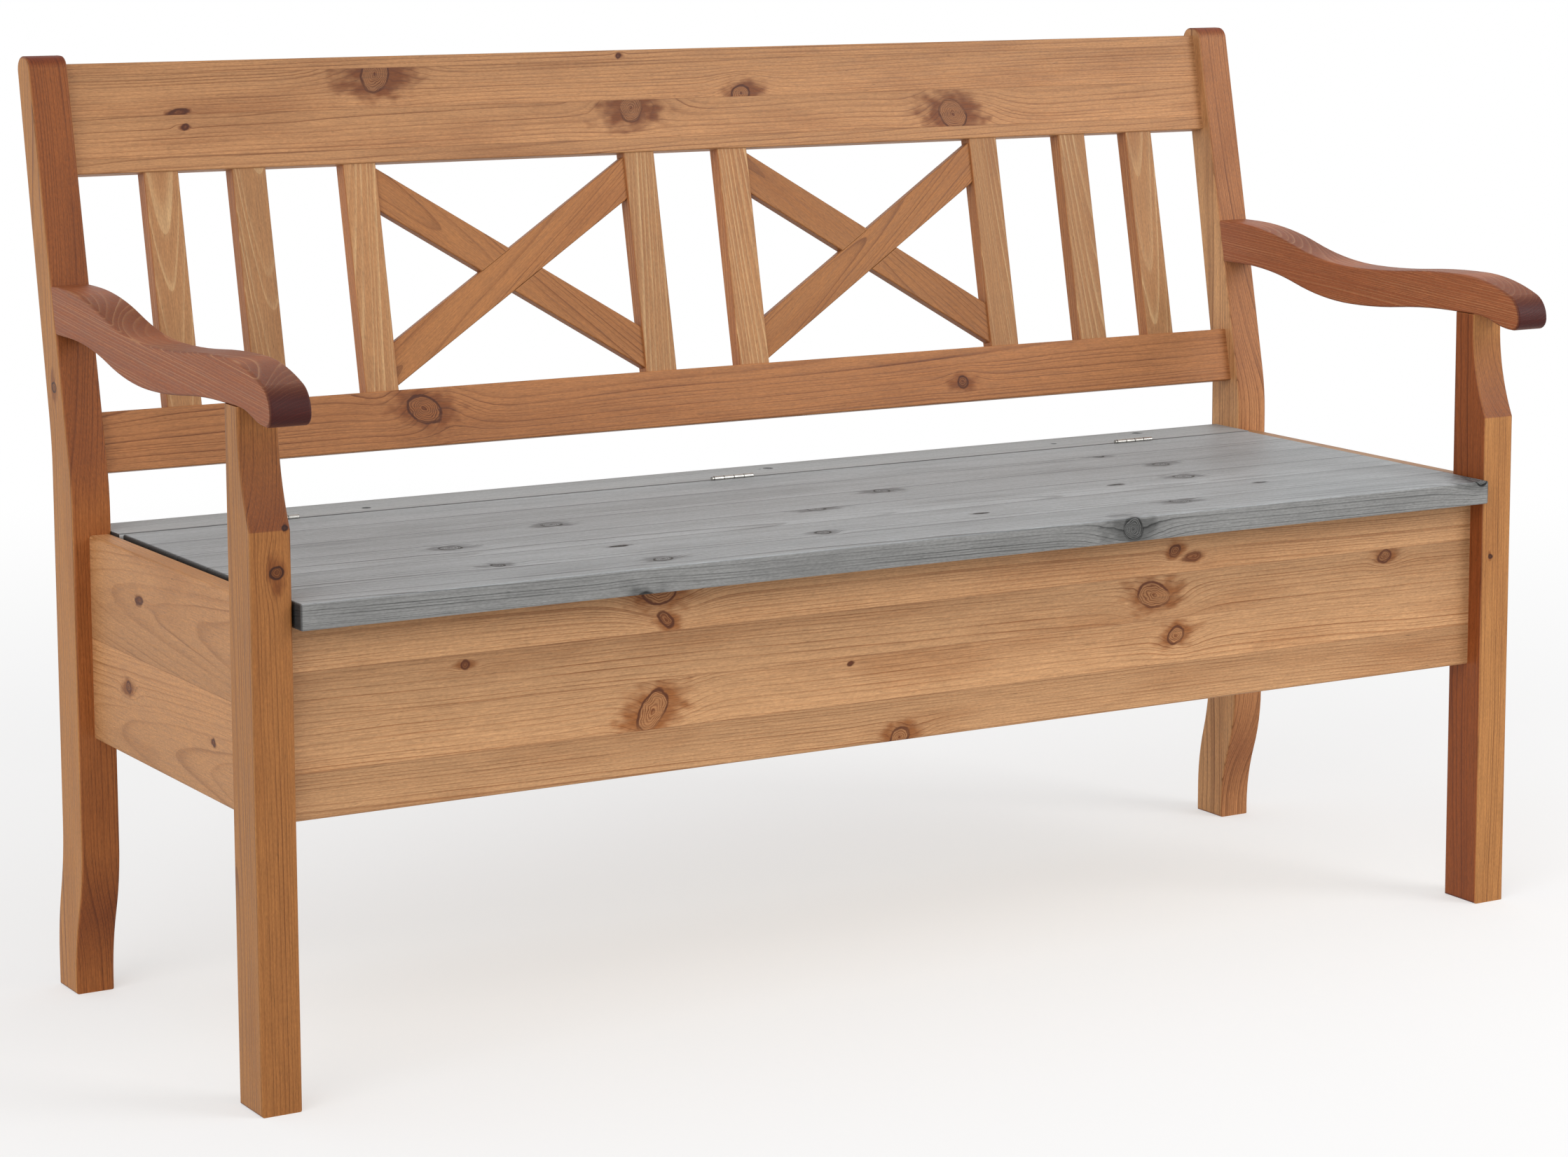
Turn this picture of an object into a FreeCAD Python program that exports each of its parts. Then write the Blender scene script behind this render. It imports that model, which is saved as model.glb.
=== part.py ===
import FreeCAD, Part
import Sketcher
import math
import os

Vector = FreeCAD.Vector
doc = FreeCAD.newDocument("StorageBench")

# Driving dimensions, in millimetres and degrees. Depths are measured back from the front faces
# of the front posts, and heights up from the floor.
driving = [
    ("overall_width", 1400, "over the outer faces of the posts"),
    ("overall_height", 901, "top of the rear posts"),
    ("post_width", 38, "every post and armrest, along the bench"),
    ("front_post_depth", 51, "front post, front to back"),
    ("shank_depth", 52.5, "rear post below the seat, front to back"),
    ("frame_depth", 432.5, "front post's front to rear post's front"),
    ("back_lean", 12, "lean of the backrest from upright"),
    ("rear_taper_lean", 10.3, "lean of the back of the rear post"),
    ("bend_rise", 41, "bend in the rear post's front above the seat"),
    ("bend_reach", 25, "length of post taken up by each half of a bend"),
    ("post_top_round", 13, "rounding of the rear post's top"),
    ("post_top_flat", 7, "flat left between the two roundings"),
    ("foot_kick", 25, "how far the rear foot curves back"),
    ("foot_depth", 47, "rear foot on the floor, front to back"),
    ("foot_flat", 10, "upright stretch at the foot's front"),
    ("foot_curve", 140, "height of the curve at the foot's front"),
    ("heel_flat", 30, "upright stretch at the foot's back"),
    ("heel_curve", 135, "height of the curve at the foot's back"),
    ("edge_round", 2.5, "rounding of the posts' and armrests' long edges"),
    ("notch_rise", 64, "foot of the front post's scoop above the seat"),
    ("notch_depth", 22, "depth of the scoop under the armrest"),
    ("notch_straight", 13, "upright stretch above the scoop"),
    ("arm_rise", 170.5, "armrest's underside on the front post above the seat"),
    ("arm_crest_rise", 40, "armrest thickness over the front post"),
    ("arm_crest_place", 45, "depth of the armrest's front crest"),
    ("arm_dip_drop", 9, "armrest's dip below its crest"),
    ("arm_dip_reach", 204.5, "dip in front of the rear posts' fronts"),
    ("arm_rear_rise", 31, "armrest's rear top above its dip"),
    ("arm_rear_flat", 17.5, "end of the rear rise behind the rear posts' fronts"),
    ("arm_sole_drop", 9.7, "dip of the armrest's underside"),
    ("arm_sole_reach", 200.5, "underside's dip in front of the rear posts' fronts"),
    ("arm_sole_rise", 26, "rise of the underside to the rear post"),
    ("arm_sole_flat", 0.5, "end of the underside's rise in front of the rear posts"),
    ("arm_sole_seat", 62, "rear end of the underside's flat seat"),
    ("nose_overhang", 51.5, "armrest's nose in front of the posts"),
    ("nose_brow", 16.5, "length of the nose's steep top curve"),
    ("nose_round", 26, "radius of the nose's steep top curve"),
    ("nose_lip", 11, "radius under the nose's tip"),
    ("nose_drop", 10.6, "nose's underside below the armrest's seat"),
    ("panel_thickness", 20, "front and rear panels"),
    ("side_panel_thickness", 22, "side panels"),
    ("box_bottom", 255, "lower edge of all four panels"),
    ("side_panel_drop", 2.5, "upper edge of the side panels below the seat's top"),
    ("front_setback", 20, "front panel behind the front posts' faces"),
    ("rear_setback", 20, "rear panel in front of the rear posts' backs"),
    ("panel_round", 3, "rounding of the panels' free edges"),
    ("seat_height", 454.5, "top of the seat"),
    ("lid_thickness", 24, "lid and fixed rear strip"),
    ("lid_overhang", 12, "lid in front of the front posts' faces"),
    ("lid_end_gap", 2.5, "between the lid's end and the post"),
    ("lid_rest_gap", 0.3, "between the closed lid and the front panel"),
    ("lid_round", 2, "rounding of the lid's edges"),
    ("hinge_reach", 21.5, "hinge line in front of the rear posts' fronts"),
    ("joint_gap", 2, "between the lid and the fixed strip"),
    ("strip_overhang", 13, "fixed strip behind the rear panel"),
    ("floor_thickness", 9, "bottom board of the box"),
    ("floor_gap", 1, "bottom board to the panels"),
    ("cleat_size", 20, "square cleats under the bottom board"),
    ("cleat_lift", 2, "cleats above the panels' lower edge"),
    ("batten_width", 60, "lid battens, along the bench"),
    ("batten_thickness", 18, "lid battens, up and down"),
    ("batten_front_gap", 30, "lid battens behind the front panel"),
    ("batten_rear_gap", 21, "lid battens in front of the hinge line"),
    ("batten_place", 242, "lid battens' middles from the posts"),
    ("rail_setback", 12.3, "backrest behind the rear posts' leaning fronts"),
    ("rail_thickness", 20, "top and lower rails"),
    ("rail_round", 1.5, "rounding of the rails' edges"),
    ("lower_rail_start", 16, "lower rail above the bend, along the lean"),
    ("lower_rail_width", 58, "lower rail, along the lean"),
    ("top_rail_width", 107, "top rail, along the lean"),
    ("top_rail_drop", 8, "top rail's front edge below the posts' tops"),
    ("slat_width", 35, "back slats, along the bench"),
    ("slat_thickness", 18, "back slats, front to back"),
    ("slat_recess", 2, "slats behind the rails' fronts"),
    ("slat_post_gap", 70.5, "outermost slats to the rear posts"),
    ("slat_pair_gap", 55, "outermost slats to the second ones"),
    ("slat_third_gap", 81.5, "second slats to the third ones"),
    ("slat_middle_gap", 75, "between the two inner slats"),
    ("bar_end", 43.5, "upright cut ends of the crosses' bars"),
    ("bar_inset", 4, "ends of the bars from the rails"),
    ("bar_thickness", 12, "bars of the crosses, front to back"),
    ("bar_recess", 3, "crosses behind the slats' fronts"),
    ("hinge_place", 158, "outer hinges' middles from the posts"),
    ("hinge_length", 46, "hinge leaves and knuckles"),
    ("hinge_height", 20, "hinge leaves below the barrel's axis"),
    ("leaf_thickness", 1.4, "hinge leaves"),
    ("leaf_gap", 0.6, "between the leaves of the closed hinge"),
    ("barrel_radius", 2.6, "hinge knuckles"),
    ("barrel_rise", 1.2, "hinge axis above the seat's top"),
    ("pin_radius", 1.3, "hinge pins"),
    ("pin_fit", 0.1, "between a pin and its knuckles"),
    ("knuckle_gap", 0.4, "between neighbouring knuckles"),
    ("hinge_clearance", 0.4, "between the knuckles and the wood"),
    ("pin_head", 2, "head of a hinge pin, along the pin"),
    ("dowel_radius", 4, "dowels of the frame"),
    ("dowel_reach", 18, "dowel inside each of its two pieces"),
    ("small_dowel_radius", 3, "dowels of the slats"),
    ("small_dowel_reach", 14, "slat dowel inside each of its two pieces"),
    ("dowel_fit", 0.1, "around a dowel"),
    ("dowel_end_gap", 1, "beyond each end of a dowel"),
    ("screw_radius", 2, "shanks of the wood screws"),
    ("screw_head", 4, "head radius of the wood screws"),
    ("screw_length", 34, "wood screws"),
    ("hinge_screw_radius", 1.3, "shanks of the hinge screws"),
    ("hinge_screw_head", 2.6, "head radius of the hinge screws"),
    ("hinge_screw_length", 14, "hinge screws"),
    ("screw_fit", 0.1, "around a screw"),
    ("screw_end_gap", 1, "beyond the tip of a screw"),
    ("side_dowel_low", 30, "lowest dowels of the side panels above their lower edge"),
    ("side_dowel_high", 37, "highest dowels of the side panels below their upper edge"),
    ("panel_dowel_low", 60, "lower dowels of the long panels above their lower edge"),
    ("panel_dowel_high", 50.5, "upper dowels of the long panels below the lid"),
    ("arm_rear_dowel", 39, "armrest's rear dowel above its front seat"),
    ("rail_dowel_edge", 18, "dowels of the rails from the rails' edges"),
    ("strip_dowel_end", 167, "outermost dowels of the fixed strip from the posts"),
    ("cleat_screw_end", 113, "outermost screws of the long cleats from the posts"),
    ("side_screw_end", 82.5, "screws of the short cleats from the cleats' ends"),
    ("batten_screw_end", 40, "outer screws of a lid batten from its ends"),
    ("hinge_screw_step", 15, "between the screws of a hinge leaf"),
]
dims = doc.addObject("Spreadsheet::Sheet", "dims")
for row, (alias, size, meaning) in enumerate(driving, start=1):
    dims.set("A%d" % row, meaning)
    dims.set("B%d" % row, str(size))
    dims.setAlias("B%d" % row, alias)
doc.recompute()

# Places worked out from the driving dimensions. X runs along the bench, Y back and Z up, and the
# origin is on the floor under the middle of the bench's outline. The two centres of the rounded
# top of a rear post, front_centre and rear_centre, lie behind the front of the post's shank.
inner_face = "(dims.overall_width / 2 - dims.post_width)"
bend_height = "(dims.seat_height + dims.bend_rise)"
top_centre = "(dims.overall_height - dims.post_top_round)"
lean_rise = f"({top_centre} + dims.post_top_round * sin(dims.back_lean) - {bend_height})"
front_centre = f"({lean_rise} * tan(dims.back_lean) + dims.post_top_round * cos(dims.back_lean))"
rear_centre = f"({front_centre} + dims.post_top_flat)"
rear_reach = f"(dims.frame_depth + {rear_centre} + dims.post_top_round)"
front_face = f"((dims.nose_overhang - {rear_reach}) / 2)"
post_front = f"({front_face} + dims.frame_depth)"
arm_seat = "(dims.seat_height + dims.arm_rise)"
side_panel_top = "(dims.seat_height - dims.side_panel_drop)"
lid_under = "(dims.seat_height - dims.lid_thickness)"
cleat_bottom = "(dims.box_bottom + dims.cleat_lift)"
floor_bottom = f"({cleat_bottom} + dims.cleat_size)"
panel_front = f"({front_face} + dims.front_setback)"
panel_back = f"({panel_front} + dims.panel_thickness)"
rear_panel_back = f"({post_front} + dims.shank_depth - dims.rear_setback)"
rear_panel_front = f"({rear_panel_back} - dims.panel_thickness)"
hinge_line = f"({post_front} - dims.hinge_reach)"
hinge_axis = "(dims.seat_height + dims.barrel_rise)"
back_start_y = f"({post_front} + dims.rail_setback * cos(dims.back_lean))"
back_start_z = f"({bend_height} - dims.rail_setback * sin(dims.back_lean))"
slat_foot = "(dims.lower_rail_start + dims.lower_rail_width)"
rail_top = f"((dims.overall_height - dims.top_rail_drop - {back_start_z}) / cos(dims.back_lean))"
slat_head = f"({rail_top} - dims.top_rail_width)"
back_opening = f"({slat_head} - {slat_foot})"
slat_outer = f"({inner_face} - dims.slat_post_gap - dims.slat_width / 2)"
slat_second = f"({slat_outer} - dims.slat_width - dims.slat_pair_gap)"
slat_third = f"({slat_second} - dims.slat_width - dims.slat_third_gap)"
slat_inner = "((dims.slat_middle_gap + dims.slat_width) / 2)"

# Lengths shorter than this, in millimetres, count as none where edges are picked
tiny = 1e-6

blanks = {}
groups = {}
bores = {}
nodes = []


# The number that an expression comes to with the driving dimensions
def value(expression):
    return float(dims.evalExpression(expression))


# Evenly spread shares from -1 to 1
def spread(count):
    return [2 * step / (count - 1) - 1 for step in range(count)]


# Ties an object's position to three expressions
def place(piece, x, y, z):
    for letter, expression in (("x", x), ("y", y), ("z", z)):
        piece.setExpression("Placement.Base." + letter, expression)


# Depth and height of a point in the leaning backrest: up the lean from the bend, and behind the
# rails' front faces
def lean_y(up, behind):
    return f"({back_start_y} + ({up}) * sin(dims.back_lean) + ({behind}) * cos(dims.back_lean))"


def lean_z(up, behind):
    return f"({back_start_z} + ({up}) * cos(dims.back_lean) - ({behind}) * sin(dims.back_lean))"


# Tilts an object back by the lean of the backrest and places it there
def lean(piece, x, up, behind):
    piece.Placement = FreeCAD.Placement(Vector(), FreeCAD.Rotation(Vector(1, 0, 0), -1))
    piece.setExpression("Placement.Rotation.Angle", "-dims.back_lean")
    place(piece, x, lean_y(up, behind), lean_z(up, behind))


# The plane of a body's own origin that has the given role
def origin_plane(body, role):
    return next(feature for feature in body.Origin.OriginFeatures if feature.Role == role)


# A point on the arc of the given radius from start to end, whose centre lies to the left of the
# way from start to end when side is 1, and to the right when it is -1
def arc_crown(start, end, radius, side):
    chord = end - start
    left = Vector(-chord.y, chord.x, 0).normalize()
    rise = radius - math.sqrt(radius ** 2 - (chord.Length / 2) ** 2)
    return (start + end) * 0.5 - left * rise * side


# A closed sketch in the plane with the given role. Each corner has its two coordinates, and the
# radius and side of the arc that leaves it, or None where a straight line does.
def outline(body, role, corners):
    sketch = body.newObject("Sketcher::SketchObject", body.Name + "_outline")
    sketch.AttachmentSupport = [(origin_plane(body, role), "")]
    sketch.MapMode = "FlatFace"
    points = [Vector(value(across), value(up), 0) for across, up, arc in corners]
    ends = []
    for number, (across, up, arc) in enumerate(corners):
        start = points[number]
        end = points[(number + 1) % len(points)]
        if arc is None:
            edge = Part.LineSegment(start, end)
        else:
            edge = Part.Arc(start, arc_crown(start, end, value(arc[0]), arc[1]), end)
        sketch.addGeometry(edge)
        begins_here = sketch.getPoint(number, 1).distanceToPoint(start) < tiny
        ends.append((1, 2) if begins_here else (2, 1))
    for number, (across, up, arc) in enumerate(corners):
        following = (number + 1) % len(corners)
        meeting = (number, ends[number][1], following, ends[following][0])
        sketch.addConstraint(Sketcher.Constraint("Coincident", *meeting))
        sizes = [("DistanceX", across), ("DistanceY", up)]
        for kind, expression in sizes:
            index = sketch.addConstraint(
                Sketcher.Constraint(kind, -1, 1, number, ends[number][0], value(expression)))
            sketch.setExpression("Constraints[%d]" % index, expression)
        if arc is not None:
            index = sketch.addConstraint(Sketcher.Constraint("Radius", number, value(arc[0])))
            sketch.setExpression("Constraints[%d]" % index, arc[0])
    return sketch


# Rounds the edges of a body's last feature that wanted picks
def round_edges(body, name, radius, wanted):
    solid = body.Tip
    fillet = body.newObject("PartDesign::Fillet", name)
    edges = enumerate(solid.Shape.Edges, start=1)
    fillet.Base = (solid, ["Edge%d" % number for number, edge in edges if wanted(edge)])
    fillet.setExpression("Radius", radius)
    body.Tip = fillet
    doc.recompute()


# A body that is one outline, padded forwards from its plane or, reversed, backwards
def padded_body(name, role, corners, length, reversed_way=False):
    body = doc.addObject("PartDesign::Body", name + "_blank")
    pad = body.newObject("PartDesign::Pad", name + "_pad")
    pad.Profile = outline(body, role, corners)
    pad.Reversed = reversed_way
    pad.setExpression("Length", length)
    body.Tip = pad
    doc.recompute()
    return body


# Whether an edge runs straight along the given direction
def runs_along(edge, direction):
    way = edge.Vertexes[-1].Point - edge.Vertexes[0].Point
    return way.Length > 0 and way.cross(direction).Length < tiny * way.Length


# Whether an edge lies in one of the end planes of a piece that was padded along X
def on_side(edge):
    ends = [vertex.Point for vertex in edge.Vertexes]
    return abs(ends[0].x - ends[-1].x) < tiny


# A rectangular board, its edges along one direction rounded, or all of them where none is given
def board(name, corner, length, depth, height, radius, direction=None):
    corners = [("0", "0", None), (length, "0", None), (length, depth, None), ("0", depth, None)]
    body = padded_body(name, "XY_Plane", corners, height)
    round_edges(body, name + "_rounding", radius,
                lambda edge: direction is None or runs_along(edge, direction))
    if corner is not None:
        place(body, *corner)
    blanks[name] = body
    return body


# A straight rod from a point along X, Y or Z
def rod(name, radius, length, axis, start):
    piece = doc.addObject("Part::Cylinder", name)
    piece.setExpression("Radius", radius)
    piece.setExpression("Height", length)
    piece.Placement = FreeCAD.Placement(Vector(), FreeCAD.Rotation(Vector(0, 0, 1), axis))
    place(piece, *start)
    return piece


# A square-edged box, kept as a sub-part's blank or used as a piece of one
def plain_box(name, corner, length, depth, height, keep=True):
    piece = doc.addObject("Part::Box", name + "_blank")
    piece.setExpression("Length", length)
    piece.setExpression("Width", depth)
    piece.setExpression("Height", height)
    place(piece, *corner)
    if keep:
        blanks[name] = piece
    return piece


# A dowel centred on a point and its bore, which is cut into the two pieces that it joins
def dowel(group, joined, axis, centre, radius="dims.dowel_radius", reach="dims.dowel_reach"):
    number = len(groups.setdefault(group, [])) + 1
    names = (f"{group}_{number}", f"{group}_{number}_bore")
    halves = (reach, f"({reach} + dims.dowel_end_gap)")
    radii = (radius, f"{radius} + dims.dowel_fit")
    rods = []
    for name, half, thickness in zip(names, halves, radii):
        start = [f"{spot} - {half} * ({step})" for spot, step in zip(centre, axis)]
        rods.append(rod(name, thickness, f"2 * {half}", axis, start))
    groups[group].append(rods[0])
    for piece in joined:
        bores.setdefault(piece, []).append(rods[1])


# A slat dowel, centred on a point of the leaning backrest, and its bore
def slat_dowel(group, joined, x, up):
    number = len(groups.setdefault(group, [])) + 1
    reach = "dims.small_dowel_reach"
    forms = (("", "0", reach), ("_bore", "dims.dowel_fit", f"({reach} + dims.dowel_end_gap)"))
    pieces = []
    for suffix, fit, half in forms:
        piece = doc.addObject("Part::Cylinder", f"{group}_{number}{suffix}")
        piece.setExpression("Radius", f"dims.small_dowel_radius + {fit}")
        piece.setExpression("Height", f"2 * {half}")
        lean(piece, x, f"{up} - {half}", "dims.rail_thickness / 2")
        pieces.append(piece)
    groups[group].append(pieces[0])
    for piece in joined:
        bores.setdefault(piece, []).append(pieces[1])


# A countersunk screw whose head's face is centred on a point, and the hole that it sits in
def screw(group, joined, axis, head_face, radius, head, length):
    number = len(groups.setdefault(group, [])) + 1
    name = f"{group}_{number}"
    fits = (("", "0", "0"), ("_hole", "dims.screw_fit", "dims.screw_end_gap"))
    shapes = []
    for suffix, fit, extra in fits:
        cone = doc.addObject("Part::Cone", name + "_head" + suffix)
        cone.setExpression("Radius1", f"{head} + {fit}")
        cone.setExpression("Radius2", f"{radius} + {fit}")
        cone.setExpression("Height", f"{head} - {radius}")
        cone.Placement = FreeCAD.Placement(Vector(), FreeCAD.Rotation(Vector(0, 0, 1), axis))
        place(cone, *head_face)
        shank = rod(name + "_shank" + suffix, f"{radius} + {fit}", f"{length} + {extra}", axis, head_face)
        whole = doc.addObject("Part::Fuse", name + suffix)
        whole.Base = cone
        whole.Tool = shank
        shapes.append(whole)
    groups[group].append(shapes[0])
    for piece in joined:
        bores.setdefault(piece, []).append(shapes[1])


# A wood screw, as used under the lid and in the box
def wood_screw(group, joined, axis, head_face):
    screw(group, joined, axis, head_face, "dims.screw_radius", "dims.screw_head", "dims.screw_length")


# Finishes a sub-part: cuts its bores and gives it the label that names its node
def finish(name, blank):
    tools = bores.get(name, [])
    node = blank
    if tools:
        node = doc.addObject("Part::Cut", name)
        node.Base = blank
        node.Tool = tools[0]
        if len(tools) > 1:
            node.Tool = doc.addObject("Part::MultiFuse", name + "_bores")
            node.Tool.Shapes = tools
    node.Label = name
    nodes.append(node)


# Front posts: upright, with a scoop in the front above the seat
def front_post(name, x):
    scoop_foot = "(dims.seat_height + dims.notch_rise)"
    scoop_top = f"({arm_seat} - dims.notch_straight)"
    scoop_height = f"({scoop_top} - {scoop_foot})"
    scoop_radius = f"(({scoop_height} ^ 2 + dims.notch_depth ^ 2) / (2 * dims.notch_depth))"
    corners = [
        ("0", "0", None),
        ("dims.front_post_depth", "0", None),
        ("dims.front_post_depth", arm_seat, None),
        ("dims.notch_depth", arm_seat, None),
        ("dims.notch_depth", scoop_top, (scoop_radius, -1)),
        ("0", scoop_foot, None),
    ]
    body = padded_body(name, "YZ_Plane", corners, "dims.post_width")
    notch = value(scoop_foot)
    top = value(arm_seat)

    def at_notch(edge):
        return all(abs(end.Z - notch) < tiny for end in edge.Vertexes)

    def below_top(edge):
        return on_side(edge) and not all(abs(end.Z - top) < tiny for end in edge.Vertexes)
    round_edges(body, name + "_notch_rounding", "dims.edge_round", at_notch)
    round_edges(body, name + "_rounding", "dims.edge_round", below_top)
    place(body, x, front_face, "0")
    blanks[name] = body


# Rear posts: leg and back upright in one, the foot curved back and the top leaning and rounded
def rear_post(name, x):
    foot_back = "(dims.foot_kick + dims.foot_depth)"
    heel_shift = f"({foot_back} - dims.shank_depth)"
    kick_radius = "((dims.foot_curve ^ 2 + dims.foot_kick ^ 2) / (4 * dims.foot_kick))"
    heel_radius = f"((dims.heel_curve ^ 2 + {heel_shift} ^ 2) / (4 * {heel_shift}))"
    bend_radius = "(dims.bend_reach / tan(dims.back_lean / 2))"
    rear_bend_radius = "(dims.bend_reach / tan(dims.rear_taper_lean / 2))"
    rear_tangent_y = f"({rear_centre} + dims.post_top_round * cos(dims.rear_taper_lean))"
    rear_tangent_z = f"({top_centre} - dims.post_top_round * sin(dims.rear_taper_lean))"
    taper_rise = f"(({rear_tangent_y} - dims.shank_depth) / tan(dims.rear_taper_lean))"
    rear_bend = f"({rear_tangent_z} - {taper_rise})"
    corners = [
        ("dims.foot_kick", "0", None),
        (foot_back, "0", None),
        (foot_back, "dims.heel_flat", (heel_radius, 1)),
        (f"{foot_back} - {heel_shift} / 2", "dims.heel_flat + dims.heel_curve / 2", (heel_radius, -1)),
        ("dims.shank_depth", "dims.heel_flat + dims.heel_curve", None),
        ("dims.shank_depth", f"{rear_bend} - dims.bend_reach", (rear_bend_radius, -1)),
        ("dims.shank_depth + dims.bend_reach * sin(dims.rear_taper_lean)",
         f"{rear_bend} + dims.bend_reach * cos(dims.rear_taper_lean)", None),
        (rear_tangent_y, rear_tangent_z, ("dims.post_top_round", 1)),
        (rear_centre, "dims.overall_height", None),
        (front_centre, "dims.overall_height", ("dims.post_top_round", 1)),
        (f"{front_centre} - dims.post_top_round * cos(dims.back_lean)",
         f"{top_centre} + dims.post_top_round * sin(dims.back_lean)", None),
        ("dims.bend_reach * sin(dims.back_lean)",
         f"{bend_height} + dims.bend_reach * cos(dims.back_lean)", (bend_radius, 1)),
        ("0", f"{bend_height} - dims.bend_reach", None),
        ("0", "dims.foot_flat + dims.foot_curve", (kick_radius, 1)),
        ("dims.foot_kick / 2", "dims.foot_flat + dims.foot_curve / 2", (kick_radius, -1)),
        ("dims.foot_kick", "dims.foot_flat", None),
    ]
    body = padded_body(name, "YZ_Plane", corners, "dims.post_width")
    round_edges(body, name + "_rounding", "dims.edge_round", on_side)
    place(body, x, post_front, "0")
    blanks[name] = body


# Armrests: a long S from the rear post down to a dip, over a crest and down to a drooping nose.
# Depths in the outline are from the nose's tip.
def armrest(name, x):
    tip = "dims.nose_overhang"
    rear = f"({tip} + dims.frame_depth)"
    crest = f"({arm_seat} + dims.arm_crest_rise)"
    dip = f"({crest} - dims.arm_dip_drop)"
    rear_top = f"({dip} + dims.arm_rear_rise)"
    sole_dip = f"({arm_seat} - dims.arm_sole_drop)"
    sole_rear = f"({sole_dip} + dims.arm_sole_rise)"
    under = f"({arm_seat} - dims.nose_drop)"
    crest_y = f"({tip} + dims.arm_crest_place)"
    dip_y = f"({rear} - dims.arm_dip_reach)"
    rear_flat_y = f"({rear} + dims.arm_rear_flat)"
    post_y = f"({tip} + dims.notch_depth)"
    seat_y = f"({tip} + dims.arm_sole_seat)"
    sole_dip_y = f"({rear} - dims.arm_sole_reach)"
    sole_flat_y = f"({rear} - dims.arm_sole_flat)"

    # radius of the two equal arcs that make an S of the given length and height
    def s_radius(length, height):
        return f"((({length}) ^ 2 + ({height}) ^ 2) / (4 * ({height})))"

    def post_face(height):
        return f"({rear} + (({height}) - {bend_height}) * tan(dims.back_lean))"

    def middle(first, second):
        return f"(({first}) + ({second})) / 2"
    rear_s = s_radius(f"{rear_flat_y} - {dip_y}", "dims.arm_rear_rise")
    front_s = s_radius(f"{dip_y} - {crest_y}", "dims.arm_dip_drop")
    sole_front_s = s_radius(f"{sole_dip_y} - {seat_y}", "dims.arm_sole_drop")
    sole_rear_s = s_radius(f"{sole_flat_y} - {sole_dip_y}", "dims.arm_sole_rise")
    nose_s = s_radius(f"{post_y} - dims.nose_lip", "dims.nose_drop")
    # the nose's top: a long arc from the crest, then a tight one that ends upright at the tip
    brow_length = f"({crest_y} - dims.nose_brow)"
    brow_sine = "(1 - dims.nose_brow / dims.nose_round)"
    brow_radius = f"({brow_length} / {brow_sine})"
    brow_cosine = f"sqrt(1 - {brow_sine} ^ 2)"
    brow_height = f"({crest} - {brow_radius} * (1 - {brow_cosine}))"
    tip_height = f"({brow_height} - dims.nose_round * {brow_cosine})"
    corners = [
        ("dims.nose_lip", under, (nose_s, 1)),
        (middle("dims.nose_lip", post_y), middle(under, arm_seat), (nose_s, -1)),
        (post_y, arm_seat, None),
        (seat_y, arm_seat, (sole_front_s, -1)),
        (middle(seat_y, sole_dip_y), middle(arm_seat, sole_dip), (sole_front_s, 1)),
        (sole_dip_y, sole_dip, (sole_rear_s, 1)),
        (middle(sole_dip_y, sole_flat_y), middle(sole_dip, sole_rear), (sole_rear_s, -1)),
        (sole_flat_y, sole_rear, None),
        (post_face(sole_rear), sole_rear, None),
        (post_face(rear_top), rear_top, None),
        (rear_flat_y, rear_top, (rear_s, 1)),
        (middle(rear_flat_y, dip_y), middle(rear_top, dip), (rear_s, -1)),
        (dip_y, dip, (front_s, -1)),
        (middle(dip_y, crest_y), middle(dip, crest), (front_s, 1)),
        (crest_y, crest, (brow_radius, 1)),
        ("dims.nose_brow", brow_height, ("dims.nose_round", 1)),
        ("0", tip_height, None),
        ("0", f"({under} + dims.nose_lip)", ("dims.nose_lip", 1)),
    ]
    body = padded_body(name, "YZ_Plane", corners, "dims.post_width")
    butt = value(post_face(sole_rear))

    def free_side(edge):
        return on_side(edge) and not all(end.Y > butt - tiny for end in edge.Vertexes)
    round_edges(body, name + "_rounding", "dims.edge_round", free_side)
    place(body, x, f"{front_face} - dims.nose_overhang", "0")
    blanks[name] = body


# The two ends of the bench, each a front post, a rear post, a side panel and an armrest
def end_frame(side, x, panel_x):
    front = f"front_post_{side}"
    rear = f"rear_post_{side}"
    panel = f"side_panel_{side}"
    arm = f"armrest_{side}"
    front_post(front, x)
    rear_post(rear, x)
    armrest(arm, x)
    board(panel, (panel_x, f"{front_face} + dims.front_post_depth", "dims.box_bottom"),
          "dims.side_panel_thickness", "dims.frame_depth - dims.front_post_depth",
          f"{side_panel_top} - dims.box_bottom", "dims.panel_round", Vector(0, 1, 0))
    middle = f"({panel_x} + dims.side_panel_thickness / 2)"
    lowest = "(dims.box_bottom + dims.side_dowel_low)"
    highest = f"({side_panel_top} - dims.side_dowel_high)"
    for height in (lowest, f"({lowest} + {highest}) / 2", highest):
        dowel("panel_dowels", (panel, front), Vector(0, 1, 0),
              (middle, f"{front_face} + dims.front_post_depth", height))
        dowel("panel_dowels", (panel, rear), Vector(0, 1, 0), (middle, post_front, height))
    post_middle = f"({x} + dims.post_width / 2)"
    dowel("armrest_dowels", (front, arm), Vector(0, 0, 1),
          (post_middle, f"{front_face} + (dims.notch_depth + dims.front_post_depth) / 2",
           arm_seat))
    rear_height = f"({arm_seat} + dims.arm_rear_dowel)"
    meeting = f"{post_front} + ({rear_height} - {bend_height}) * tan(dims.back_lean)"
    dowel("armrest_dowels", (arm, rear), Vector(0, 1, 0), (post_middle, meeting, rear_height))


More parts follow.
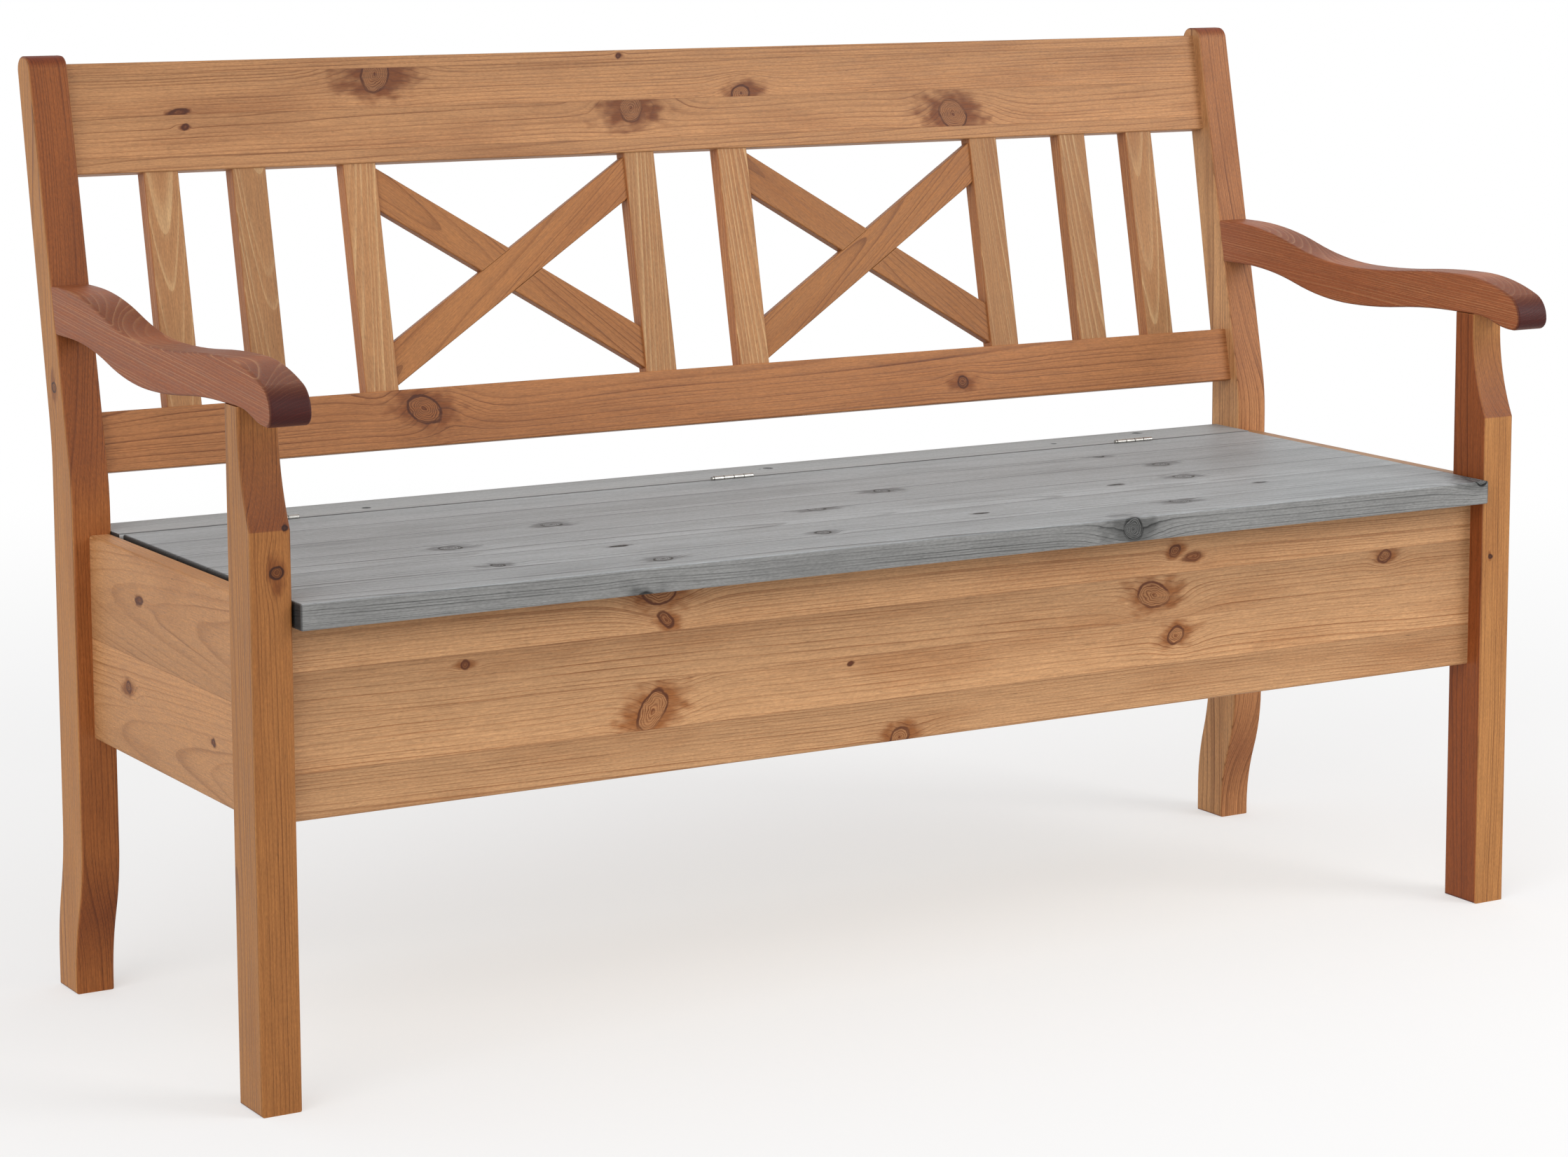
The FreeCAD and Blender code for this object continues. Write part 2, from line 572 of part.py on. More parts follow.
# The storage box: front and rear panels between the posts, and the bottom board on its cleats
def storage_box():
    along = Vector(1, 0, 0)
    start = f"-{inner_face}"
    board("front_panel", (start, panel_front, "dims.box_bottom"), f"2 * {inner_face}",
          "dims.panel_thickness", f"{lid_under} - dims.lid_rest_gap - dims.box_bottom",
          "dims.panel_round", along)
    board("rear_panel", (start, rear_panel_front, "dims.box_bottom"), f"2 * {inner_face}",
          "dims.panel_thickness", f"{lid_under} - dims.box_bottom", "dims.panel_round", along)
    for panel, face in (("front", panel_front), ("rear", rear_panel_front)):
        for side, sign in (("left", "-"), ("right", "")):
            for height in ("dims.box_bottom + dims.panel_dowel_low", f"{lid_under} - dims.panel_dowel_high"):
                dowel("panel_dowels", (f"{panel}_panel", f"{panel}_post_{side}"), along,
                      (f"{sign}{inner_face}", f"{face} + dims.panel_thickness / 2", height))

    long_start = f"-({inner_face} - dims.floor_gap)"
    long_length = f"2 * ({inner_face} - dims.floor_gap)"
    cleat_back = f"({panel_back} + dims.cleat_size)"
    cleat_front = f"({rear_panel_front} - dims.cleat_size)"
    short_length = f"{cleat_front} - {cleat_back}"
    square = ("dims.cleat_size", "dims.cleat_size")
    plain_box("bottom_cleat_front", (long_start, panel_back, cleat_bottom), long_length, *square)
    plain_box("bottom_cleat_rear", (long_start, cleat_front, cleat_bottom), long_length, *square)
    for side, x in (("left", f"-{inner_face}"), ("right", f"{inner_face} - dims.cleat_size")):
        plain_box(f"bottom_cleat_{side}", (x, cleat_back, cleat_bottom),
                  "dims.cleat_size", short_length, "dims.cleat_size")
    plain_box("bottom_board", (long_start, f"{panel_back} + dims.floor_gap", floor_bottom), long_length,
              f"{rear_panel_front} - {panel_back} - 2 * dims.floor_gap", "dims.floor_thickness")
    height = f"{cleat_bottom} + dims.cleat_size / 2"
    for share in spread(4):
        x = f"{share} * ({inner_face} - dims.cleat_screw_end)"
        wood_screw("cleat_screws", ("bottom_cleat_front", "front_panel"), Vector(0, -1, 0),
                   (x, cleat_back, height))
        wood_screw("cleat_screws", ("bottom_cleat_rear", "rear_panel"), Vector(0, 1, 0),
                   (x, cleat_front, height))
    for y in (f"{cleat_back} + dims.side_screw_end", f"{cleat_front} - dims.side_screw_end"):
        wood_screw("cleat_screws", ("bottom_cleat_left", "side_panel_left"), Vector(-1, 0, 0),
                   (f"-{inner_face} + dims.cleat_size", y, height))
        wood_screw("cleat_screws", ("bottom_cleat_right", "side_panel_right"), Vector(1, 0, 0),
                   (f"{inner_face} - dims.cleat_size", y, height))


# The seat: the lid with its two battens, and the fixed strip behind it
def seat():
    lid_half = f"({inner_face} - dims.lid_end_gap)"
    lid_front = f"({front_face} - dims.lid_overhang)"
    lid_back = f"({hinge_line} - dims.joint_gap / 2)"
    strip_front = f"({hinge_line} + dims.joint_gap / 2)"
    board("seat_lid", (f"-{lid_half}", lid_front, lid_under), f"2 * {lid_half}",
          f"{lid_back} - {lid_front}", "dims.lid_thickness", "dims.lid_round")
    board("seat_rear_strip", (f"-{inner_face}", strip_front, lid_under), f"2 * {inner_face}",
          f"{rear_panel_back} + dims.strip_overhang - {strip_front}", "dims.lid_thickness",
          "dims.lid_round", Vector(1, 0, 0))
    for share in spread(4):
        dowel("strip_dowels", ("rear_panel", "seat_rear_strip"), Vector(0, 0, 1),
              (f"{share} * ({inner_face} - dims.strip_dowel_end)",
               f"{rear_panel_front} + dims.panel_thickness / 2", lid_under))
    under = f"{lid_under} - dims.batten_thickness"
    batten_front = f"({panel_back} + dims.batten_front_gap)"
    batten_length = f"({hinge_line} - dims.batten_rear_gap - {batten_front})"
    for side, sign in (("left", -1), ("right", 1)):
        name = f"lid_batten_{side}"
        middle = f"{sign} * ({inner_face} - dims.batten_place)"
        board(name, (f"{middle} - dims.batten_width / 2", batten_front, under),
              "dims.batten_width", batten_length, "dims.batten_thickness", "dims.lid_round")
        for share in spread(3):
            along = f"{batten_length} / 2 + {share} * ({batten_length} / 2 - dims.batten_screw_end)"
            wood_screw("batten_screws", (name, "seat_lid"), Vector(0, 0, 1),
                       (middle, f"{batten_front} + {along}", under))


# Butt hinges: two leaves let into the facing edges, with alternating knuckles on one pin
def hinge(side, middle):
    along = Vector(1, 0, 0)
    start = f"({middle} - dims.hinge_length / 2)"
    knuckle = "((dims.hinge_length - 3 * dims.knuckle_gap) / 4)"
    bore_radius = "dims.pin_radius + dims.pin_fit"
    leaf_top = "(dims.barrel_radius + dims.hinge_clearance)"
    plate_height = f"dims.hinge_height - {leaf_top}"
    plate_bottom = f"{hinge_axis} - dims.hinge_height"
    leaves = (("fixed", f"{hinge_line} + dims.leaf_gap / 2", "seat_rear_strip", (0, 2), hinge_line, 1),
              ("lid", f"{hinge_line} - dims.leaf_gap / 2 - dims.leaf_thickness", "seat_lid", (1, 3),
               f"{hinge_line} - dims.leaf_gap / 2 - dims.leaf_thickness", -1))
    for kind, y, wood, places, recess_y, way in leaves:
        name = f"hinge_leaf_{kind}_{side}"
        plate = plain_box(name + "_plate", (start, y, plate_bottom), "dims.hinge_length",
                          "dims.leaf_thickness", plate_height, keep=False)
        parts = [plate]
        for spot in places:
            x = f"{start} + {spot} * ({knuckle} + dims.knuckle_gap)"
            parts.append(plain_box(f"{name}_tab_{spot}", (x, y, f"{plate_bottom} + {plate_height}"),
                                   knuckle, "dims.leaf_thickness", leaf_top, keep=False))
            parts.append(rod(f"{name}_knuckle_{spot}", "dims.barrel_radius", knuckle, along,
                             (x, hinge_line, hinge_axis)))
        whole = doc.addObject("Part::MultiFuse", name + "_blank")
        whole.Shapes = parts
        blanks[name] = whole
        bore = rod(name + "_pin_bore", bore_radius, "dims.hinge_length + 2 * dims.dowel_end_gap", along,
                   (f"{start} - dims.dowel_end_gap", hinge_line, hinge_axis))
        bores.setdefault(name, []).append(bore)
        recess = plain_box(name + "_mortise",
                           (f"{start} - dims.hinge_clearance", recess_y,
                            f"{plate_bottom} - dims.hinge_clearance"),
                           "dims.hinge_length + 2 * dims.hinge_clearance",
                           "dims.leaf_thickness + dims.leaf_gap / 2",
                           "dims.hinge_height + dims.hinge_clearance", keep=False)
        relief = rod(name + "_relief", "dims.barrel_radius + dims.hinge_clearance",
                     "dims.hinge_length + dims.pin_head + 3 * dims.hinge_clearance", along,
                     (f"{start} - dims.pin_head - 2 * dims.hinge_clearance", hinge_line, hinge_axis))
        bores.setdefault(wood, []).extend([recess, relief])
        for share in spread(3):
            screw(f"hinge_screws_{kind}", (name, wood), Vector(0, way, 0),
                  (f"{middle} + {share} * dims.hinge_screw_step", f"{hinge_line} + {way} * dims.leaf_gap / 2",
                   f"{hinge_axis} - ({leaf_top} + dims.hinge_height) / 2"),
                  "dims.hinge_screw_radius", "dims.hinge_screw_head", "dims.hinge_screw_length")
    pin = doc.addObject("Part::Fuse", f"hinge_pin_{side}_blank")
    pin.Base = rod(f"hinge_pin_{side}_shank", "dims.pin_radius", "dims.hinge_length + dims.hinge_clearance",
                   along, (f"{start} - dims.hinge_clearance", hinge_line, hinge_axis))
    pin.Tool = rod(f"hinge_pin_{side}_head", "dims.barrel_radius - dims.hinge_clearance", "dims.pin_head",
                   along, (f"{start} - dims.hinge_clearance - dims.pin_head", hinge_line, hinge_axis))
    blanks[f"hinge_pin_{side}"] = pin


# A rail of the backrest, between the rear posts and dowelled to them
def rail(name, start, width):
    body = board(name, None, f"2 * {inner_face}", "dims.rail_thickness", width, "dims.rail_round",
                 Vector(1, 0, 0))
    lean(body, f"-{inner_face}", start, "0")
    middle = "dims.rail_thickness / 2"
    for side, sign in (("left", "-"), ("right", "")):
        for up in (f"{start} + dims.rail_dowel_edge", f"{start} + {width} - dims.rail_dowel_edge"):
            dowel("rail_dowels", (name, f"rear_post_{side}"), Vector(1, 0, 0),
                  (f"{sign}{inner_face}", lean_y(up, middle), lean_z(up, middle)))


# One bar of a cross: a parallelogram from corner to corner of its opening, its ends cut upright.
# A lap tool has the same outline, half as thick and without rounding.
def cross_bar(name, x, rising, behind, thickness, rounded):
    span = f"({slat_third} - {slat_inner} - dims.slat_width)"
    low, high = "dims.bar_inset", f"({back_opening} - dims.bar_end - dims.bar_inset)"
    first, last = (low, high) if rising else (high, low)
    corners = [("0", first, None), (span, last, None), (span, f"{last} + dims.bar_end", None),
               ("0", f"{first} + dims.bar_end", None)]
    body = padded_body(name, "XZ_Plane", corners, thickness, reversed_way=True)
    if rounded:
        slope = Vector(value(span), 0, value(last) - value(first))
        round_edges(body, name + "_rounding", "dims.rail_round", lambda edge: runs_along(edge, slope))
    lean(body, x, slat_foot, behind)
    return body


# A cross of two half-lapped bars, the rising one unbroken in front
def cross(side, x):
    behind = "(dims.slat_recess + dims.bar_recess)"
    middle = f"{behind} + dims.bar_thickness / 2"
    for kind, rising, lap_behind in (("rising", True, middle), ("falling", False, behind)):
        name = f"cross_{side}_{kind}"
        blanks[name] = cross_bar(name, x, rising, behind, "dims.bar_thickness", True)
        lap = cross_bar(name + "_lap", x, not rising, lap_behind, "dims.bar_thickness / 2", False)
        bores.setdefault(name, []).append(lap)


# The leaning backrest: two rails, eight slats and two crosses
def backrest():
    rail("lower_rail", "dims.lower_rail_start", "dims.lower_rail_width")
    rail("top_rail", slat_head, "dims.top_rail_width")
    places = [slat_outer, slat_second, slat_third, slat_inner]
    middles = ["-" + middle for middle in places] + places[::-1]
    for number, middle in enumerate(middles, start=1):
        name = f"back_slat_{number}"
        body = board(name, None, "dims.slat_width", "dims.slat_thickness", back_opening,
                     "dims.rail_round", Vector(0, 0, 1))
        lean(body, f"{middle} - dims.slat_width / 2", slat_foot, "dims.slat_recess")
        slat_dowel("slat_dowels", (name, "lower_rail"), middle, slat_foot)
        slat_dowel("slat_dowels", (name, "top_rail"), middle, slat_head)
    cross("left", f"-{slat_third} + dims.slat_width / 2")
    cross("right", f"{slat_inner} + dims.slat_width / 2")


end_frame("left", "-dims.overall_width / 2", f"-{inner_face} - dims.side_panel_thickness")
end_frame("right", inner_face, inner_face)
storage_box()
seat()
outer_hinge = f"({inner_face} - dims.hinge_place)"
for side, middle in (("left", f"-{outer_hinge}"), ("middle", "0"), ("right", outer_hinge)):
    hinge(side, middle)
backrest()

for name, blank in blanks.items():
    finish(name, blank)
for name, pieces in groups.items():
    group = doc.addObject("Part::Compound", name + "_group")
    group.Links = pieces
    group.Label = name
    nodes.append(group)
doc.recompute()

for piece in doc.Objects:
    if "Invalid" in piece.State or "Error" in piece.State:
        raise RuntimeError("failed to build " + piece.Name)
for node in nodes:
    if node.Shape.isNull() or not node.Shape.isValid():
        raise RuntimeError("bad shape in " + node.Label)
os.makedirs("parts", exist_ok=True)
for node in nodes:
    node.Shape.exportStep("parts/" + node.Label + ".step")
print(len(nodes), "nodes,", sum(len(node.Shape.Solids) for node in nodes), "solids")
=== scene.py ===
import math

import bmesh
import bpy
from mathutils import Matrix, Vector


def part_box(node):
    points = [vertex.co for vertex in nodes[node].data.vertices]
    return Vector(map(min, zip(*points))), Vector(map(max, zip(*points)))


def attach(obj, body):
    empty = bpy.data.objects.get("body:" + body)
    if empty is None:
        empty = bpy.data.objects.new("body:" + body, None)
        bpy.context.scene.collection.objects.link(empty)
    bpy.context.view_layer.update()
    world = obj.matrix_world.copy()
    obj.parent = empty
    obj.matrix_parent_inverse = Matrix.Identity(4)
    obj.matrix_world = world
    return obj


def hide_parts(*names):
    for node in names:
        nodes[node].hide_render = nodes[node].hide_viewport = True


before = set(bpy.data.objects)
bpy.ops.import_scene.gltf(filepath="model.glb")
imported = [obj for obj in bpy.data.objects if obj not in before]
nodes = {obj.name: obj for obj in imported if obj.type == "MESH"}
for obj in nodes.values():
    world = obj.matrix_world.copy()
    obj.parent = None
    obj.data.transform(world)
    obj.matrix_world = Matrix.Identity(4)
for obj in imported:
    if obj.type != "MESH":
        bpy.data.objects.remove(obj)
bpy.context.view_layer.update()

mm = 0.001


def linearColour(code):
    # sRGB hex to the linear colour that the sockets take
    parts = [int(code[i:i + 2], 16) / 255 for i in (1, 3, 5)]
    return [p / 12.92 if p <= 0.04045 else ((p + 0.055) / 1.055) ** 2.4 for p in parts] + [1.0]


def addNode(tree, kind, inputs=None, **settings):
    # one node with its settings; an input is a value, a socket, or a node that gives its first output
    node = tree.nodes.new(kind)
    for name, value in settings.items():
        setattr(node, name, value)
    for slot, value in (inputs or {}).items():
        source = value.outputs[0] if isinstance(value, bpy.types.Node) else value
        if isinstance(source, bpy.types.NodeSocket):
            tree.links.new(source, node.inputs[slot])
        else:
            node.inputs[slot].default_value = source
    return node


def newGroup(name, given, made):
    tree = bpy.data.node_groups.new(name, "ShaderNodeTree")
    for side, sockets in (("INPUT", given), ("OUTPUT", made)):
        for label, kind in sockets.items():
            tree.interface.new_socket(label, in_out=side, socket_type="NodeSocket" + kind)
    return tree, tree.nodes.new("NodeGroupInput").outputs


def setRamp(node, stops):
    # stops are (place, grey) pairs
    ramp = node.color_ramp
    while len(ramp.elements) < len(stops):
        ramp.elements.new(0.5)
    for element, (place, grey) in zip(ramp.elements, stops):
        element.position = place
        element.color = (grey, grey, grey, 1)


# where the photograph was taken from, in metres
photoView = {
    "place": (-2.0211, -3.4831, 1.1056),
    "tilt": -0.1407,  # radians below level
    "turn": -0.5843,  # radians from straight ahead
    "roll": -0.0058,
    "lens": 93.27,  # mm, on a 36 mm sensor
    "shift": (-0.1702, -0.1010),
}
cameraData = bpy.data.cameras.new("photoCamera")
cameraData.sensor_width = 36
cameraData.lens = photoView["lens"]
cameraData.shift_x, cameraData.shift_y = photoView["shift"]
camera = bpy.data.objects.new("photoCamera", cameraData)
camera.location = photoView["place"]
camera.rotation_euler = (math.pi / 2 + photoView["tilt"], photoView["roll"], photoView["turn"])
bpy.context.scene.collection.objects.link(camera)
bpy.context.scene.camera = camera
print("camera set")


# a glued-up board: every strip has chances of its own, and knots read a point shaken by about a
# millimetre, which makes their outlines uneven
stripLook = {
    "drawStep": 7.13,  # keeps the draws of neighbouring strips apart
    "jolt": 4.4,  # mm from side to side
    "joltScale": 0.08,  # per mm
    "outside": 3,  # mm that the outer seams lie outside the board, so that only the inner ones show
    "unglued": 9000,  # mm, the strip's width on a board of one piece
}


def makeStripGroup():
    tree, given = newGroup(
        "gluedStrips",
        {"Point": "Vector", "Width": "Float", "Count": "Float", "Seed": "Float"},
        {"Strip": "Float", "Chance": "Vector", "Seam": "Float", "Middle": "Vector", "Share": "Float",
         "Rough": "Vector"},
    )
    apart = addNode(tree, "ShaderNodeSeparateXYZ", {0: given["Point"]})
    steps = addNode(tree, "ShaderNodeMath", {0: apart.outputs["Y"], 1: given["Width"]}, operation="DIVIDE")
    place = addNode(tree, "ShaderNodeMath", {0: given["Count"], 1: 0.5, 2: steps}, operation="MULTIPLY_ADD")
    strip = addNode(tree, "ShaderNodeMath", {0: place}, operation="FLOOR")
    draw = addNode(tree, "ShaderNodeMath", {0: strip, 1: stripLook["drawStep"], 2: given["Seed"]},
                   operation="MULTIPLY_ADD")
    chance = addNode(tree, "ShaderNodeTexWhiteNoise", {"W": draw}, noise_dimensions="1D")
    share = addNode(tree, "ShaderNodeMath", {0: place, 1: 0.5}, operation="PINGPONG")
    seam = addNode(tree, "ShaderNodeMath", {0: share, 1: given["Width"]}, operation="MULTIPLY")
    part = addNode(tree, "ShaderNodeMath", {0: place}, operation="FRACT")
    toMiddle = addNode(tree, "ShaderNodeMath", {0: 0.5, 1: part}, operation="SUBTRACT")
    middle = addNode(tree, "ShaderNodeMath", {0: toMiddle, 1: given["Width"], 2: apart.outputs["Y"]},
                     operation="MULTIPLY_ADD")
    middlePoint = addNode(tree, "ShaderNodeCombineXYZ", {"Y": middle})
    jolt = addNode(tree, "ShaderNodeTexNoise",
                   {"Vector": given["Point"], "Scale": stripLook["joltScale"], "Detail": 2.0})
    rough = addNode(tree, "ShaderNodeVectorMath", {0: jolt.outputs["Color"], 1: [stripLook["jolt"]] * 3,
                                                   2: given["Point"]}, operation="MULTIPLY_ADD")
    roughEven = addNode(tree, "ShaderNodeVectorMath", {0: rough, 1: [stripLook["jolt"] / 2] * 3},
                        operation="SUBTRACT")
    addNode(tree, "NodeGroupOutput", {"Strip": strip, "Chance": chance.outputs["Color"], "Seam": seam,
                                      "Middle": middlePoint, "Share": part, "Rough": roughEven})
    return tree


# a branch through the board pushes the rings aside and shows as a knot
knotLook = {
    "eye": (0.42, 1, 1),  # the grain opens like an eye, longer along the board than across
    "fall": -0.3,  # how that fades with the square of the distance, in knot radii
    "push": (0, -0.75, -0.75),
    "swell": 0.8,
    "elsewhere": 1000.0,  # mm that a knot is taken to be away from another strip
    "dead": {"From Min": 8.0, "From Max": 3.0},  # mm: small knots are dark, wide ones nearly as light as wood
    "heart": {"From Min": 2.2, "From Max": 0.6},  # mm: their dark middle
    "within": 1.0,  # mm outside the rim
    "streakAim": (2.4, 0.2, 1),  # a branch lying along the board leaves a streak
    "edgeAim": (0.15, 1, -0.35),
    "leanMost": (0.7, 0.5),  # how far a knot without an aim of its own leans, and how that turns
    "leanStep": (2.1, 1.7),
    "none": 900.0,  # mm to the nearest knot before there is one
}


def makeKnotGroup():
    tree, given = newGroup(
        "branchKnot",
        {
            "Point": "Vector", "Strip": "Float", "Shift": "Vector", "Swell": "Float", "Rim": "Float",
            "Glow": "Float", "Core": "Float", "Place": "Vector", "Aim": "Vector", "Size": "Float",
            "Home": "Float", "Dark": "Float",
        },
        {"Shift": "Vector", "Swell": "Float", "Rim": "Float", "Glow": "Float", "Core": "Float"},
    )
    away = addNode(tree, "ShaderNodeVectorMath", {0: given["Point"], 1: given["Place"]}, operation="SUBTRACT")
    depth = addNode(tree, "ShaderNodeVectorMath", {0: away, 1: given["Aim"]}, operation="DOT_PRODUCT")
    inward = addNode(tree, "ShaderNodeVectorMath", {0: given["Aim"], "Scale": depth.outputs["Value"]},
                     operation="SCALE")
    across = addNode(tree, "ShaderNodeVectorMath", {0: away, 1: inward}, operation="SUBTRACT")
    distance = addNode(tree, "ShaderNodeVectorMath", {0: across}, operation="LENGTH")
    eye = addNode(tree, "ShaderNodeVectorMath", {0: across, 1: knotLook["eye"]}, operation="MULTIPLY")
    reach = addNode(tree, "ShaderNodeVectorMath", {0: eye}, operation="LENGTH")
    near = addNode(tree, "ShaderNodeMath", {0: reach.outputs["Value"], 1: given["Size"]}, operation="DIVIDE")
    square = addNode(tree, "ShaderNodeMath", {0: near, 1: 2.0}, operation="POWER")
    fall = addNode(tree, "ShaderNodeMath", {0: square, 1: knotLook["fall"]}, operation="MULTIPLY")
    bell = addNode(tree, "ShaderNodeMath", {0: fall}, operation="EXPONENT")
    same = addNode(tree, "ShaderNodeMath", {0: given["Strip"], 1: given["Home"], 2: 0.5}, operation="COMPARE")
    pull = addNode(tree, "ShaderNodeMath", {0: bell, 1: same}, operation="MULTIPLY")
    aside = addNode(tree, "ShaderNodeVectorMath", {0: across, 1: knotLook["push"]}, operation="MULTIPLY")
    push = addNode(tree, "ShaderNodeVectorMath", {0: aside, "Scale": pull}, operation="SCALE")
    shift = addNode(tree, "ShaderNodeVectorMath", {0: given["Shift"], 1: push}, operation="ADD")
    lift = addNode(tree, "ShaderNodeMath", {0: pull, 1: given["Size"]}, operation="MULTIPLY")
    swell = addNode(tree, "ShaderNodeMath", {0: lift, 1: knotLook["swell"], 2: given["Swell"]},
                    operation="MULTIPLY_ADD")
    rim = addNode(tree, "ShaderNodeMath", {0: distance.outputs["Value"], 1: given["Size"]},
                  operation="SUBTRACT")
    far = knotLook["elsewhere"]
    other = addNode(tree, "ShaderNodeMath", {0: same, 1: -far, 2: far}, operation="MULTIPLY_ADD")
    clear = addNode(tree, "ShaderNodeMath", {0: rim, 1: other}, operation="ADD")
    nearest = addNode(tree, "ShaderNodeMath", {0: given["Rim"], 1: clear}, operation="MINIMUM")
    glow = addNode(tree, "ShaderNodeMath", {0: given["Glow"], 1: pull}, operation="MAXIMUM")
    dead = addNode(tree, "ShaderNodeMapRange", {"Value": given["Size"], **knotLook["dead"]})
    heart = addNode(tree, "ShaderNodeMapRange", {"Value": distance.outputs["Value"], **knotLook["heart"]})
    deader = addNode(tree, "ShaderNodeMath", {0: dead, 1: given["Dark"]}, operation="MAXIMUM")
    dark = addNode(tree, "ShaderNodeMath", {0: deader, 1: heart}, operation="MAXIMUM")
    within = addNode(tree, "ShaderNodeMath", {0: clear, 1: knotLook["within"]}, operation="LESS_THAN")
    deadHere = addNode(tree, "ShaderNodeMath", {0: dark, 1: within}, operation="MULTIPLY")
    core = addNode(tree, "ShaderNodeMath", {0: given["Core"], 1: deadHere}, operation="MAXIMUM")
    addNode(tree, "NodeGroupOutput",
            {"Shift": shift, "Swell": swell, "Rim": nearest, "Glow": glow, "Core": core})
    return tree


# the wood itself, in millimetres. Each noise is stretched along the grain, by mm along, across, through
pineNoise = {
    "bend": {"size": (480, 150, 150), "detail": 1},
    "ripple": {"size": (90, 22, 22), "detail": 1},
    "fade": {"size": (150, 26, 26), "detail": 2},
    # the fibre is finer in the real wood and drawn 0.9 mm wide so that it shows
    "fibre": {"size": (26, 1 / 1.1, 1 / 1.1), "detail": 2},
    "fleck": {"size": (9, 1.3, 1.3), "detail": 1},
    "cloud": {"size": (190, 40, 40), "detail": 3},
    "flame": {"size": (16, 9, 9), "detail": 1},
    "grit": {"size": (4, 1.2, 1.2), "detail": 2},
}
pineLook = {
    "treeApart": 4000,  # mm between the places where two strips read the noises
    "wanders": {"bend": 9, "ripple": 1.3},  # mm that the stem and the single rings wander
    "weather": 0.33,  # good and bad years: rings stand wider and closer
    "weatherBy": 2.2,  # rings
    "weatherApart": 50.0,  # keeps the weather of two strips apart
    "stripDraw": 13.7,  # makes a second draw from a strip's first
    "ringTone": [(0.0, 0.35), (0.08, 0.0), (0.55, 0.06), (0.78, 0.3), (0.92, 1.0), (1.0, 1.0)],
    "flameFlicker": 0.9,
    "flameGlow": 0.95,
    "knotUneven": 7.0,  # mm that the knot's own rings wander
    "knotRing": 0.95,  # mm between them
    "knotPale": 0.6,  # share of the halo in the knot's pale rings
    "knotCore": 0.8,
    "lineGloss": -0.08,  # late wood is a little smoother, and stands higher
    "lineHeight": 0.6,
    "glueHeight": -1.5,
    "glueCore": 0.2,  # mm from a seam where its dark line is at its strongest: a glue line, and on the rear strip painted shade of the gap before the lid
}
# how each noise or share becomes a strength: what it has to reach, and what it gives there
pineRanges = {
    "force": {"To Min": 0.35, "To Max": 1.0},
    "fade": {"From Min": 0.3, "From Max": 0.62, "To Min": 0.35, "To Max": 1.0},
    "flame": {"From Min": 0.68, "From Max": 1.3, "To Max": 0.95},
    "cloud": {"From Min": 0.48, "From Max": 0.8, "To Max": 0.45},
    "fibreTone": {"From Min": 0.25, "From Max": 0.75, "To Min": 0.83, "To Max": 1.17},
    "stripTone": {"To Min": 0.86, "To Max": 1.1},
    "edgeTone": {"To Min": 1.09, "To Max": 0.9},
    "fleckTone": {"From Min": 0.68, "From Max": 0.8, "To Min": 1.0, "To Max": 0.72},
    "gritTone": {"From Min": 0.25, "From Max": 0.75, "To Min": 0.86, "To Max": 1.14},
    "inside": {"From Min": 0.7, "From Max": -0.7},
    "knotForce": {"From Min": 0.3, "From Max": 0.6, "To Min": 0.4, "To Max": 1.0},
    "knotLine": {"From Min": 0.3, "From Max": 0.9},
    "barkLine": {"From Min": 1.7, "From Max": 0.4, "To Max": 0.95},
    "barkPart": {"From Min": 0.33, "From Max": 0.5},
    "broadFace": {"From Min": 0.9, "From Max": 0.5},
    "cut": {"From Min": 0.04, "From Max": 0.85},
    "turned": {"From Min": 0.5, "From Max": 0.85},
    "shine": {"From Min": 0.3, "From Max": 0.7, "To Min": 0.44, "To Max": 0.58},
}


